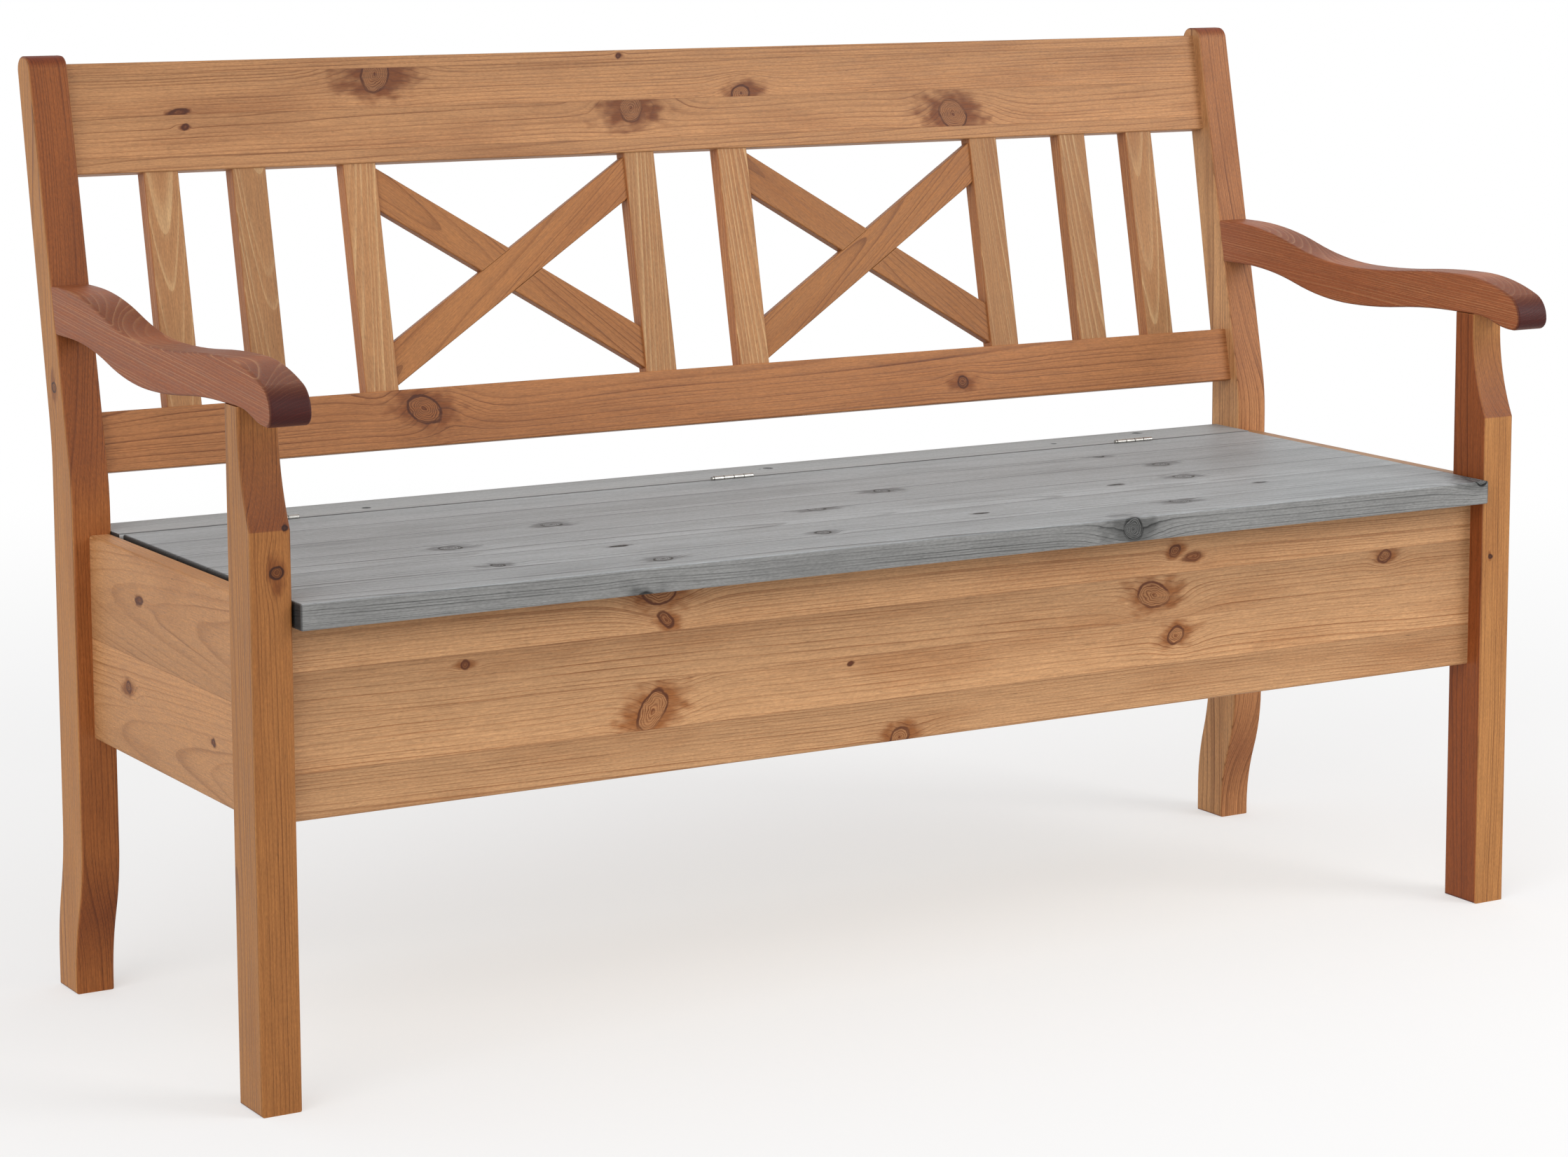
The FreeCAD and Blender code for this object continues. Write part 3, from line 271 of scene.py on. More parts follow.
def makePineGroup():
    tree, given = newGroup(
        "solidPine",
        {
            "Point": "Vector", "Facing": "Vector", "Chance": "Vector", "Seam": "Float", "Middle": "Vector",
            "Share": "Float", "Shift": "Vector", "Swell": "Float", "Rim": "Float", "Glow": "Float",
            "Core": "Float", "Halo": "Color", "Glue": "Float", "Joint": "Float", "Pith": "Vector",
            "Wander": "Vector", "Ring": "Float", "Slope": "Float", "Thirst": "Float", "Early": "Color",
            "Late": "Color", "Knot": "Color", "Bark": "Color", "Cut": "Color", "Side": "Color",
            "Front": "Color", "Bands": "Float",
        },
        {"Colour": "Color", "Roughness": "Float", "Height": "Float"},
    )
    # every strip reads the noises from another place, as if from another tree
    wood = addNode(tree, "ShaderNodeVectorMath", {0: given["Chance"], 1: [pineLook["treeApart"]] * 3,
                                                  2: given["Point"]}, operation="MULTIPLY_ADD")
    noises = {}
    for name, kind in pineNoise.items():
        spot = addNode(tree, "ShaderNodeVectorMath", {0: wood, 1: [1 / length for length in kind["size"]]},
                       operation="MULTIPLY")
        noises[name] = addNode(tree, "ShaderNodeTexNoise",
                               {"Vector": spot, "Scale": 1.0, "Detail": kind["detail"]})
    moved = addNode(tree, "ShaderNodeVectorMath", {0: given["Point"], 1: given["Shift"]}, operation="ADD")
    for name, reach in pineLook["wanders"].items():
        step = addNode(tree, "ShaderNodeVectorMath",
                       {0: noises[name].outputs["Color"], 1: (0, reach, reach),
                        2: (0, -reach / 2, -reach / 2)}, operation="MULTIPLY_ADD")
        moved = addNode(tree, "ShaderNodeVectorMath", {0: moved, 1: step}, operation="ADD")
    centred = addNode(tree, "ShaderNodeVectorMath", {0: given["Chance"], 1: (0.5, 0.5, 0.5)},
                      operation="SUBTRACT")
    pith = addNode(tree, "ShaderNodeVectorMath", {0: centred, 1: given["Wander"], 2: given["Pith"]},
                   operation="MULTIPLY_ADD")
    pithHere = addNode(tree, "ShaderNodeVectorMath", {0: pith, 1: given["Middle"]}, operation="ADD")
    fromPith = addNode(tree, "ShaderNodeVectorMath", {0: moved, 1: pithHere}, operation="SUBTRACT")
    flat = addNode(tree, "ShaderNodeVectorMath", {0: fromPith, 1: (0, 1, 1)}, operation="MULTIPLY")
    radius = addNode(tree, "ShaderNodeVectorMath", {0: flat}, operation="LENGTH")
    along = addNode(tree, "ShaderNodeSeparateXYZ", {0: moved})
    taper = addNode(tree, "ShaderNodeMath", {0: along.outputs["X"], 1: given["Slope"],
                                             2: radius.outputs["Value"]}, operation="MULTIPLY_ADD")
    swollen = addNode(tree, "ShaderNodeMath", {0: taper, 1: given["Swell"]}, operation="ADD")
    years = addNode(tree, "ShaderNodeMath", {0: swollen, 1: given["Ring"]}, operation="DIVIDE")
    chances = addNode(tree, "ShaderNodeSeparateXYZ", {0: given["Chance"]})
    weatherAt = addNode(tree, "ShaderNodeMath", {0: chances.outputs["X"], 1: pineLook["weatherApart"],
                                                 2: years}, operation="MULTIPLY_ADD")
    weather = addNode(tree, "ShaderNodeTexNoise", {"W": weatherAt, "Scale": pineLook["weather"]},
                      noise_dimensions="1D")
    grown = addNode(tree, "ShaderNodeMath", {0: weather, 1: pineLook["weatherBy"], 2: years},
                    operation="MULTIPLY_ADD")
    phase = addNode(tree, "ShaderNodeMath", {0: grown}, operation="FRACT")
    year = addNode(tree, "ShaderNodeMath", {0: grown}, operation="FLOOR")
    lateWood = addNode(tree, "ShaderNodeValToRGB", {0: phase})
    setRamp(lateWood, pineLook["ringTone"])
    yearDraw = addNode(tree, "ShaderNodeTexWhiteNoise", {"W": year}, noise_dimensions="1D")
    force = addNode(tree, "ShaderNodeMapRange", {"Value": yearDraw.outputs["Value"], **pineRanges["force"]})
    fade = addNode(tree, "ShaderNodeMapRange", {"Value": noises["fade"], **pineRanges["fade"]})
    forced = addNode(tree, "ShaderNodeMath", {0: lateWood.outputs["Color"], 1: force}, operation="MULTIPLY")
    line = addNode(tree, "ShaderNodeMath", {0: forced, 1: fade}, operation="MULTIPLY")
    # resin and stain gather round a knot in dark tongues, and in faint clouds elsewhere
    flicker = addNode(tree, "ShaderNodeMath", {0: noises["flame"], 1: pineLook["flameFlicker"]},
                      operation="MULTIPLY")
    reach = addNode(tree, "ShaderNodeMath", {0: given["Glow"], 1: pineLook["flameGlow"], 2: flicker},
                    operation="MULTIPLY_ADD")
    flame = addNode(tree, "ShaderNodeMapRange", {"Value": reach, **pineRanges["flame"]},
                    interpolation_type="SMOOTHSTEP")
    cloud = addNode(tree, "ShaderNodeMapRange", {"Value": noises["cloud"], **pineRanges["cloud"]})
    stained = addNode(tree, "ShaderNodeMath", {0: flame, 1: cloud}, operation="MAXIMUM")
    early = addNode(tree, "ShaderNodeMix", {0: stained, 6: given["Early"], 7: given["Halo"]},
                    data_type="RGBA")
    late = addNode(tree, "ShaderNodeMix", {0: flame, 6: given["Late"], 7: given["Knot"]}, data_type="RGBA")
    patched = addNode(tree, "ShaderNodeMix", {0: line, 6: early.outputs[2], 7: late.outputs[2]},
                      data_type="RGBA")
    # brightness: fibre, the strip's own tone, and darker towards one edge of a strip
    tone = addNode(tree, "ShaderNodeMapRange", {"Value": noises["fibre"], **pineRanges["fibreTone"]})
    stripDraw = addNode(tree, "ShaderNodeMath", {0: chances.outputs["Z"], 1: pineLook["stripDraw"]},
                        operation="MULTIPLY")
    stripPart = addNode(tree, "ShaderNodeMath", {0: stripDraw}, operation="FRACT")
    stripTone = addNode(tree, "ShaderNodeMapRange", {"Value": stripPart, **pineRanges["stripTone"]})
    edgeTone = addNode(tree, "ShaderNodeMapRange", {"Value": given["Share"], **pineRanges["edgeTone"]})
    fleck = addNode(tree, "ShaderNodeMapRange", {"Value": noises["fleck"], **pineRanges["fleckTone"]})
    grit = addNode(tree, "ShaderNodeMapRange", {"Value": noises["grit"], **pineRanges["gritTone"]})
    bands = addNode(tree, "ShaderNodeMath", {0: stripTone, 1: edgeTone}, operation="MULTIPLY")
    bandSize = addNode(tree, "ShaderNodeMath", {0: bands, 1: 1.0}, operation="SUBTRACT")
    banded = addNode(tree, "ShaderNodeMath", {0: bandSize, 1: given["Bands"], 2: 1.0},
                     operation="MULTIPLY_ADD")
    for part in (banded, fleck, grit):
        tone = addNode(tree, "ShaderNodeMath", {0: tone, 1: part}, operation="MULTIPLY")
    toned = addNode(tree, "ShaderNodeVectorMath", {0: patched.outputs[2], "Scale": tone}, operation="SCALE")
    # the knot itself: fine rings of its own, a broken dark rim
    inside = addNode(tree, "ShaderNodeMapRange", {"Value": given["Rim"], **pineRanges["inside"]},
                     interpolation_type="SMOOTHSTEP")
    uneven = addNode(tree, "ShaderNodeMath", {0: noises["flame"], 1: pineLook["knotUneven"], 2: given["Rim"]},
                     operation="MULTIPLY_ADD")
    knotRings = addNode(tree, "ShaderNodeMath", {0: uneven, 1: pineLook["knotRing"]}, operation="PINGPONG")
    knotForce = addNode(tree, "ShaderNodeMapRange", {"Value": noises["flame"], **pineRanges["knotForce"]})
    knotLine = addNode(tree, "ShaderNodeMapRange",
                       {"Value": knotRings, "To Max": knotForce, **pineRanges["knotLine"]})
    knotDark = addNode(tree, "ShaderNodeMath", {0: given["Core"], 1: pineLook["knotCore"], 2: knotLine},
                       operation="MULTIPLY_ADD", use_clamp=True)
    knotPale = addNode(tree, "ShaderNodeMix", {0: pineLook["knotPale"], 6: given["Early"], 7: given["Halo"]},
                       data_type="RGBA")
    knotColour = addNode(tree, "ShaderNodeMix", {0: knotDark, 6: knotPale.outputs[2], 7: given["Knot"]},
                         data_type="RGBA")
    knotToned = addNode(tree, "ShaderNodeVectorMath", {0: knotColour.outputs[2], "Scale": tone},
                        operation="SCALE")
    knotted = addNode(tree, "ShaderNodeMix", {0: inside, 6: toned, 7: knotToned}, data_type="RGBA")
    rimSize = addNode(tree, "ShaderNodeMath", {0: given["Rim"]}, operation="ABSOLUTE")
    barkLine = addNode(tree, "ShaderNodeMapRange", {"Value": rimSize, **pineRanges["barkLine"]},
                       interpolation_type="SMOOTHSTEP")
    barkPart = addNode(tree, "ShaderNodeMapRange",
                       {"Value": noises["fade"].outputs["Color"], **pineRanges["barkPart"]})
    bark = addNode(tree, "ShaderNodeMath", {0: barkLine, 1: barkPart}, operation="MULTIPLY")
    barked = addNode(tree, "ShaderNodeMix", {0: bark, 6: knotted.outputs[2], 7: given["Bark"]},
                     data_type="RGBA")
    # a glue line shows on the faces and ends of a board, not along its narrow edges; on the rear strip the
    # same dark line is painted shade of the gap before the lid
    facing = addNode(tree, "ShaderNodeSeparateXYZ", {0: given["Facing"]})
    sideways = addNode(tree, "ShaderNodeMath", {0: facing.outputs["Y"]}, operation="ABSOLUTE")
    lineShare = addNode(tree, "ShaderNodeMapRange",
                        {"Value": sideways, "To Max": given["Glue"], **pineRanges["broadFace"]})
    glue = addNode(tree, "ShaderNodeMapRange", {"Value": given["Seam"], "From Min": given["Joint"],
                                                "From Max": pineLook["glueCore"], "To Max": lineShare})
    colour = addNode(tree, "ShaderNodeMix", {0: glue, 6: barked.outputs[2], 7: given["Knot"]},
                     data_type="RGBA")
    # a face cut across the fibre drinks more stain; the other faces have tints of their own, which on the
    # seat lid and the front right post are painted light and shade
    for axis, tint in (("X", "Cut"), ("Y", "Side"), ("Z", "Front")):
        turned = addNode(tree, "ShaderNodeMath", {0: facing.outputs[axis]}, operation="ABSOLUTE")
        if axis == "X":
            cut = addNode(tree, "ShaderNodeMapRange", {"Value": turned, **pineRanges["cut"]})
            share = addNode(tree, "ShaderNodeMath", {0: cut, 1: given["Thirst"]}, operation="POWER")
        else:
            share = addNode(tree, "ShaderNodeMapRange", {"Value": turned, **pineRanges["turned"]},
                            interpolation_type="SMOOTHSTEP")
        colour = addNode(tree, "ShaderNodeMix", {0: share, 6: colour.outputs[2], 7: given[tint]},
                         data_type="RGBA", blend_type="MULTIPLY")
    shine = addNode(tree, "ShaderNodeMapRange", {"Value": noises["fibre"], **pineRanges["shine"]})
    roughness = addNode(tree, "ShaderNodeMath", {0: line, 1: pineLook["lineGloss"], 2: shine},
                        operation="MULTIPLY_ADD")
    ridge = addNode(tree, "ShaderNodeMath", {0: line, 1: pineLook["lineHeight"], 2: noises["fibre"]},
                    operation="MULTIPLY_ADD")
    height = addNode(tree, "ShaderNodeMath", {0: glue, 1: pineLook["glueHeight"], 2: ridge},
                     operation="MULTIPLY_ADD")
    addNode(tree, "NodeGroupOutput", {"Colour": colour.outputs[2], "Roughness": roughness, "Height": height})
    return tree


stripGroup = makeStripGroup()
knotGroup = makeKnotGroup()
pineGroup = makePineGroup()
print("wood groups made")

# pine and beech as this bench's maker finished them: stain and wax, sRGB
finishes = {
    "honeyPine": {"early": "#BB8E64", "late": "#7D4820", "halo": "#8A5226", "knot": "#6A3818",
                  "bark": "#552A12", "cut": "#B08078"},
    "goldenPine": {"early": "#BA875B", "late": "#73401D", "halo": "#834924", "knot": "#5E2F17",
                   "bark": "#4A2210", "cut": "#A87870"},
    "amberPine": {"early": "#B27A45", "late": "#683816", "halo": "#875025", "knot": "#5C3014",
                  "bark": "#3A1A0B", "cut": "#A26646"},
    "redPine": {"early": "#935230", "late": "#BA8459", "halo": "#7B472C", "knot": "#50281B",
                "bark": "#35170E", "cut": "#6A2F2C"},
    "greyPine": {"early": "#AEB0B0", "late": "#666868", "halo": "#C2C4C4", "knot": "#484949",
                 "bark": "#2C2C2C", "cut": "#565656"},
    "plainPine": {"early": "#D8B98C", "late": "#B48652", "halo": "#C79C68", "knot": "#8A5B34",
                  "bark": "#4A2A14", "cut": "#C8AE90"},
    "beech": {"early": "#CDA57C", "late": "#B5885E", "halo": "#BF966C", "knot": "#8A6242",
              "bark": "#5A3A22", "cut": "#FFFFFF"},
}

# what a board has where its own dictionary says nothing else
plainBoard = {
    "strips": 1, "knots": [], "streaks": [],
    "edgeKnots": [], "edgeSide": -1, "edgeDark": 0.0,  # knots on one long edge, and how dark they are
    "pith": (0, 12, -48), "wander": (0, 0, 0),  # mm from a strip's middle, and how far it may differ
    "ring": 3.6,  # mm from one year to the next
    "slope": 0.012,  # how fast the stem tapers
    "thirst": 0.7,  # the less, the more stain on faces that cut the fibre at a slant
    "glue": 0.3, "joint": 0.7,  # the dark seam line's strength, and half its width in mm: a glue line, and on the rear strip painted shade
    "bands": 1.0,  # how much the strips differ in tone
    "gloss": 0.3, "side": "#FFFFFF", "front": "#FFFFFF",
}
waxedSurface = {
    "ior": 1.46,
    "relief": 0.3,
    "reliefHeight": 0.5,  # mm
    # the edges lighter: the stain rubbed thin, and a painted highlight on their roundings
    "rubbed": 2.5,  # mm from an edge
    "rubbedShare": {"From Min": 0.985, "From Max": 0.85, "To Max": 0.3},
}


def edgeShare(tree, width, strength):
    # 0 on a flat face, more near an edge, where a rounded normal leaves the face's own
    rounded = addNode(tree, "ShaderNodeBevel", {"Radius": width * mm}, samples=4)
    still = addNode(tree, "ShaderNodeNewGeometry")
    agree = addNode(tree, "ShaderNodeVectorMath", {0: rounded, 1: still.outputs["True Normal"]},
                    operation="DOT_PRODUCT")
    return addNode(tree, "ShaderNodeMapRange", {"Value": agree.outputs["Value"], **strength}).outputs[0]


def newMaterial(name):
    material = bpy.data.materials.new(name)
    material.use_nodes = True
    material.node_tree.nodes.clear()
    return material, material.node_tree


def listKnots(board, size):
    # place, aim, radius and darkness; knots run out from the pith, each a little its own way
    top = size[2] / 2
    edge = size[1] / 2 * board["edgeSide"]
    (along, across), (stepAlong, stepAcross) = knotLook["leanMost"], knotLook["leanStep"]
    knots = []
    for number, (x, y, radius, *tilt) in enumerate(board["knots"]):
        aim = tilt or (along * math.sin(stepAlong * number), across * math.cos(stepAcross * number))
        knots.append(((x, y, top), (*aim, 1), radius, 0.0))
    knots += [((x, y, top), knotLook["streakAim"], radius, 0.0) for x, y, radius in board["streaks"]]
    knots += [((x, edge, z), knotLook["edgeAim"], radius, board["edgeDark"])
              for x, z, radius in board["edgeKnots"]]
    return knots


def finishBoard(own):
    # waxed softwood, satin: rings and knots show through the stain, ends and sawn curves take it darker
    finish = finishes[own["finish"]]
    board = {**plainBoard, **finish, "worn": finish["early"], **own}
    low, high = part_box(board["node"])
    grain = Vector(board["grain"]).normalized()
    face = Vector(board["face"]).normalized()
    turn = Matrix((grain, face.cross(grain), face))
    angles = turn.transposed().to_euler()
    size = board.get("size", [abs(row.dot(high - low)) / mm for row in turn])
    strips = board["strips"]
    shared = (size[1] + 2 * stripLook["outside"]) / strips if strips > 1 else stripLook["unglued"]
    width = board.get("stripWidth", shared)
    material, tree = newMaterial(board["finish"] + "_" + board["node"])
    place = addNode(tree, "ShaderNodeTexCoord")
    point = addNode(tree, "ShaderNodeMapping",
                    {"Vector": place.outputs["Object"], "Location": (low + high) / 2, "Rotation": angles,
                     "Scale": (mm, mm, mm)}, vector_type="TEXTURE")
    facing = addNode(tree, "ShaderNodeMapping", {"Vector": place.outputs["Normal"], "Rotation": angles},
                     vector_type="TEXTURE")
    glued = addNode(tree, "ShaderNodeGroup", {"Point": point, "Width": width, "Count": strips,
                                              "Seed": board["seed"]}, node_tree=stripGroup)
    carried = {"Shift": (0, 0, 0), "Swell": 0.0, "Rim": knotLook["none"], "Glow": 0.0, "Core": 0.0}
    for spot, aim, radius, dark in listKnots(board, size):
        given = {
            "Point": glued.outputs["Rough"], "Strip": glued.outputs["Strip"], "Place": spot,
            "Aim": Vector(aim).normalized(), "Size": radius, "Dark": dark, **carried,
            # a knot on the board's edge belongs to the outermost strip
            "Home": math.floor(spot[1] * 0.999 / width + strips / 2),
        }
        branch = addNode(tree, "ShaderNodeGroup", given, node_tree=knotGroup)
        carried = {name: branch.outputs[name] for name in carried}
    wood = {"Point": point, "Facing": facing, **carried}
    for name in ("Chance", "Seam", "Middle", "Share"):
        wood[name] = glued.outputs[name]
    for name in ("pith", "wander", "ring", "slope", "thirst", "glue", "joint", "bands"):
        wood[name.capitalize()] = board[name]
    for name in ("early", "late", "halo", "knot", "bark", "cut", "side", "front"):
        wood[name.capitalize()] = linearColour(board[name])
    pine = addNode(tree, "ShaderNodeGroup", wood, node_tree=pineGroup)
    relief = addNode(tree, "ShaderNodeBump",
                     {"Height": pine.outputs["Height"], "Strength": waxedSurface["relief"],
                      "Distance": waxedSurface["reliefHeight"] * mm})
    # the stain is rubbed thin along the edges, and the lighter edges are also a painted highlight on their
    # roundings
    rubbed = edgeShare(tree, waxedSurface["rubbed"], waxedSurface["rubbedShare"])
    worn = addNode(tree, "ShaderNodeMix",
                   {0: rubbed, 6: pine.outputs["Colour"], 7: linearColour(board["worn"])}, data_type="RGBA")
    surface = addNode(tree, "ShaderNodeBsdfPrincipled",
                      {"Base Color": worn.outputs[2], "Roughness": pine.outputs["Roughness"],
                       "Normal": relief, "IOR": waxedSurface["ior"], "Specular IOR Level": board["gloss"]})
    addNode(tree, "ShaderNodeOutputMaterial", {0: surface})
    nodes[board["node"]].data.materials.clear()
    nodes[board["node"]].data.materials.append(material)


# the back leans by this much, and the bars of its crosses rise by this much
lean = math.radians(12)
leanUp = (0, math.sin(lean), math.cos(lean))
leanFront = (0, -math.cos(lean), math.sin(lean))
barRise = math.radians(39.4)

# knots and streaks: mm along the grain, mm across the face, radius, and how the branch leans
topRail = {
    "node": "top_rail", "finish": "goldenPine", "grain": (1, 0, 0), "face": leanFront, "seed": 1.7,
    # glue lines 39.5 mm below the middle, and 1 and 41.5 mm above it
    "size": (1324, 107, 20), "stripWidth": 40.5, "strips": 1.95,
    "wander": (0, 50, 20), "pith": (0, 52, -30), "ring": 3.0, "halo": "#723D1D",
    "knots": [(-342, 36, 14, 0.3, 0.9), (-60, -8, 12, 0.2, 0.6), (71, 4, 9, 0.6, 0.3),
              (331, -26, 15, 0.5, -0.4), (-68, 47, 2), (-546, -11, 2.5)],
    "streaks": [(-552, 3, 3)],
}
lowerRail = {
    "node": "lower_rail", "finish": "goldenPine", "grain": (1, 0, 0), "face": leanFront, "seed": 4.1,
    "size": (1324, 58, 20), "pith": (0, 30, -24), "ring": 3.0,
    "early": "#B67A4C", "late": "#6A3617", "knots": [(-326, 8, 13, 0.9, -0.5), (307, -8, 6, 0.2, 0.1)],
}
frontPanel = {
    "node": "front_panel", "finish": "honeyPine", "grain": (1, 0, 0), "face": (0, -1, 0), "seed": 2.3,
    "strips": 4, "wander": (0, 60, 20), "pith": (0, -64, -36), "ring": 2.9,
    "knots": [(-490, 36, 3.5, 0.2, 0.1), (-288, 56, 5, -1.2, 0.9), (-295, 84, 13, 0.8, 0),
              (-303, -28, 12, 0.8, 1.2), (284, 68, 5), (258, 26, 12.5, 1.1, -0.2), (286, -18, 8, 0.5, 0.5),
              (-37, -84, 9), (-91, -7, 1.2, 1.4, 0.2), (549, 38, 6, 0.9, 0.2)],
    "streaks": [(306, 60, 4)],
}
sidePanelLeft = {
    "node": "side_panel_left", "finish": "honeyPine", "grain": (0, 1, 0), "face": (-1, 0, 0), "seed": 5.9,
    "strips": 2, "wander": (0, 30, 10), "pith": (0, 8, -64), "slope": 0.035, "ring": 3.2,
    "early": "#C79161", "late": "#A06A3B",
    "knots": [(97, 31, 5), (-109, 45, 2.5)], "streaks": [(65, -56, 3)],
}
sidePanelRight = {
    "node": "side_panel_right", "finish": "honeyPine", "grain": (0, 1, 0), "face": (1, 0, 0), "seed": 8.2,
    "strips": 2, "wander": (0, 40, 10), "pith": (0, -50, -30), "slope": 0.02,
    "knots": [(-60, 30, 5.5), (120, -40, 3.5)],
}
rearPanel = {
    "node": "rear_panel", "finish": "honeyPine", "grain": (1, 0, 0), "face": (0, 1, 0), "seed": 6.4,
    "strips": 4, "wander": (0, 60, 20), "pith": (0, -64, -36), "ring": 3.5,
    "knots": [(-420, 60, 6), (-130, -30, 8), (210, 20, 5), (480, -65, 8), (350, 66, 3.5)],
}
seatLid = {
    "node": "seat_lid", "finish": "greyPine", "grain": (1, 0, 0), "face": (0, 0, 1), "seed": 3.6,
    "strips": 6, "wander": (0, 44, 20), "pith": (0, -46, -42), "ring": 3.1, "glue": 0.55, "joint": 1.6,
    "early": "#D2D3D3", "late": "#666767", "halo": "#909191", "cut": "#474747", "side": "#A8A7A5",
    # its side and front tints are painted light and shade: the front and back edges darker than the top, as
    # light falls on them, and the top a little darker and cooler
    "front": "#D0D3D5", "worn": "#CDCECE", "bands": 0.45, "gloss": 0.18,
    "knots": [(-431, -124, 6), (-429, -19, 9), (-290, 50, 9), (-26, -3, 9), (-288, -174, 8), (-90, -126, 7),
              (88, 61, 8), (434, 61, 8), (406, -21, 9), (408, 142, 6), (310, -151, 9)],
    "streaks": [(-290, -92, 3.5), (314, -30, 3.5), (451, -95, 3), (99, -110, 2.5)],
    "edgeKnots": [(-325, -20, 10), (211, 1, 11), (650, 16, 8)], "edgeDark": 0.4,
}
rearStrip = {
    "node": "seat_rear_strip", "finish": "greyPine", "grain": (1, 0, 0), "face": (0, 0, 1), "seed": 9.3,
    # its one seam line is painted shade of the gap before the lid, drawn in its knot colour
    "stripWidth": 100, "strips": 0.66, "glue": 1.0, "joint": 4.0, "pith": (0, 30, -30), "ring": 3.2,
    "early": "#C6C7C7", "knot": "#242424", "front": "#E4E3E2", "gloss": 0.18,
    # its knot colour is also the colour of the painted shade in the gap before the lid
    "knots": [(64, 7, 4), (543, 18, 3.5), (-400, -12, 3.5), (418, -3, 2.5)],
}
boards = [topRail, lowerRail, frontPanel, sidePanelLeft, sidePanelRight, rearPanel, seatLid, rearStrip]

# posts: upright grain; the sawn front edges of the rear posts and the scoops are darker and redder
posts = {
    "front_post_left": {"seed": 1.1, "pith": (0, 52, -24), "front": "#EFE4D8",
                        "knots": [(169, -5, 5), (208, -14, 2)]},
    # its side tint is painted shade: both side faces darker and redder, as the inner one is shaded towards
    # the seat
    "front_post_right": {"seed": 2.9, "pith": (0, -50, -30), "side": "#CFA696", "knots": [(60, 8, 1.6)]},
    "rear_post_left": {"seed": 3.3, "pith": (0, 70, -14), "front": "#E0C5B6", "edgeKnots": [(140, 18, 5)],
                       "edgeSide": 1, "thirst": 0.7},
    "rear_post_right": {"seed": 4.7, "pith": (0, -66, -18), "front": "#E4D2C8", "early": "#CB9868",
                        "thirst": 0.9, "knots": [(-120, 6, 3)]},
}
for name, kind in posts.items():
    boards.append({"node": name, "finish": "amberPine", "grain": (0, 0, 1), "face": (0, -1, 0),
                   "slope": 0.008, "ring": 3.0, "thirst": 0.5, **kind})

# armrests, sawn from a board whose grain climbs a little towards the nose
for name, seed, side in (("armrest_left", 5.2, -1), ("armrest_right", 6.8, 1)):
    boards.append({"node": name, "finish": "redPine", "grain": (0, -1, -0.07), "face": (side, 0, 0),
                   "seed": seed, "pith": (0, -74, -24), "ring": 2.5, "thirst": 0.5})

# slats: the pith lies behind each one at another place, which opens the rings into arches
slatPiths = [(0, 4, -26), (0, -10, -30), (0, 26, -30), (0, 34, -24), (0, -28, -26), (0, -32, -24),
             (0, -20, -34), (0, 5, -28)]
for number, pith in enumerate(slatPiths, 1):
    boards.append({"node": f"back_slat_{number}", "finish": "goldenPine", "grain": leanUp, "face": leanFront,
                   "seed": 10.3 + number, "pith": pith, "ring": 3.2, "slope": -0.045,
                   "early": "#AC7B50", "late": "#CDA677", "side": "#FADEC8"})

for side, sign in (("left", 1), ("right", -1)):
    for slope, way in (("rising", 1), ("falling", -1)):
        along = Vector((math.cos(barRise), 0, 0)) + way * math.sin(barRise) * Vector(leanUp)
        boards.append({"node": f"cross_{side}_{slope}", "finish": "goldenPine", "grain": along,
                       "face": leanFront, "seed": 20.5 + sign + 3 * way, "pith": (0, 14 * way, -30),
                       "ring": 3.4, "slope": 0.02, "early": "#AA7142", "late": "#71401D"})

hidden = {
    "bottom_board": {"grain": (1, 0, 0), "face": (0, 0, 1), "strips": 5, "wander": (0, 120, 30)},
    "bottom_cleat_front": {"grain": (1, 0, 0), "face": (0, 0, 1)},
    "bottom_cleat_rear": {"grain": (1, 0, 0), "face": (0, 0, 1)},
    "bottom_cleat_left": {"grain": (0, 1, 0), "face": (0, 0, 1)},
    "bottom_cleat_right": {"grain": (0, 1, 0), "face": (0, 0, 1)},
}
for number, (name, kind) in enumerate(hidden.items()):
    boards.append({"node": name, "finish": "plainPine", "seed": 30.7 + number, **kind})
for number, side in enumerate(("left", "right")):
    boards.append({"node": f"lid_batten_{side}", "finish": "greyPine", "grain": (0, 1, 0), "face": (0, 0, -1),
                   "front": "#E8EBEC", "pith": (0, 40, -30), "seed": 41.2 + number})
for number, name in enumerate(("armrest", "panel", "rail", "slat", "strip")):
    boards.append({"node": f"{name}_dowels", "finish": "beech", "grain": (1, 0, 0), "face": (0, 0, 1),
                   "seed": 50.1 + number, "ring": 1.4})

for board in boards:
    finishBoard(board)
print("wood finished:", len(boards), "pieces")

metals = {
    # nickel-plated steel, polished by the plating: bright, with faint rolling marks
    "nickelPlatedSteel": {"colour": "#C4C2BD", "dark": "#A6A49F", "rough": (0.24, 0.38),
                          "scratch": 2.0, "dust": 1.3},  # mm wide
    # zinc-plated steel, as cold-headed screws come: duller and slightly mottled
    "zincPlatedSteel": {"colour": "#BFC0BE", "dark": "#9C9D9C", "rough": (0.3, 0.48),
                        "scratch": 0.8, "dust": 0.25},
}
metalLook = {
    "along": 16.7, "blotch": 4.55,  # mm: length of a rolling mark, width of a blotch
    "shine": {"From Min": 0.3, "From Max": 0.7},
    "relief": 0.15,
    "reliefHeight": 0.1,  # mm
    # painted shade of the gaps between the hinge knuckles, with a little old oil, darkens the edges of the
    # metal
    "oldDust": "#33312E",
    "dustShare": {"From Min": 0.94, "From Max": 0.8, "To Max": 0.92},
}


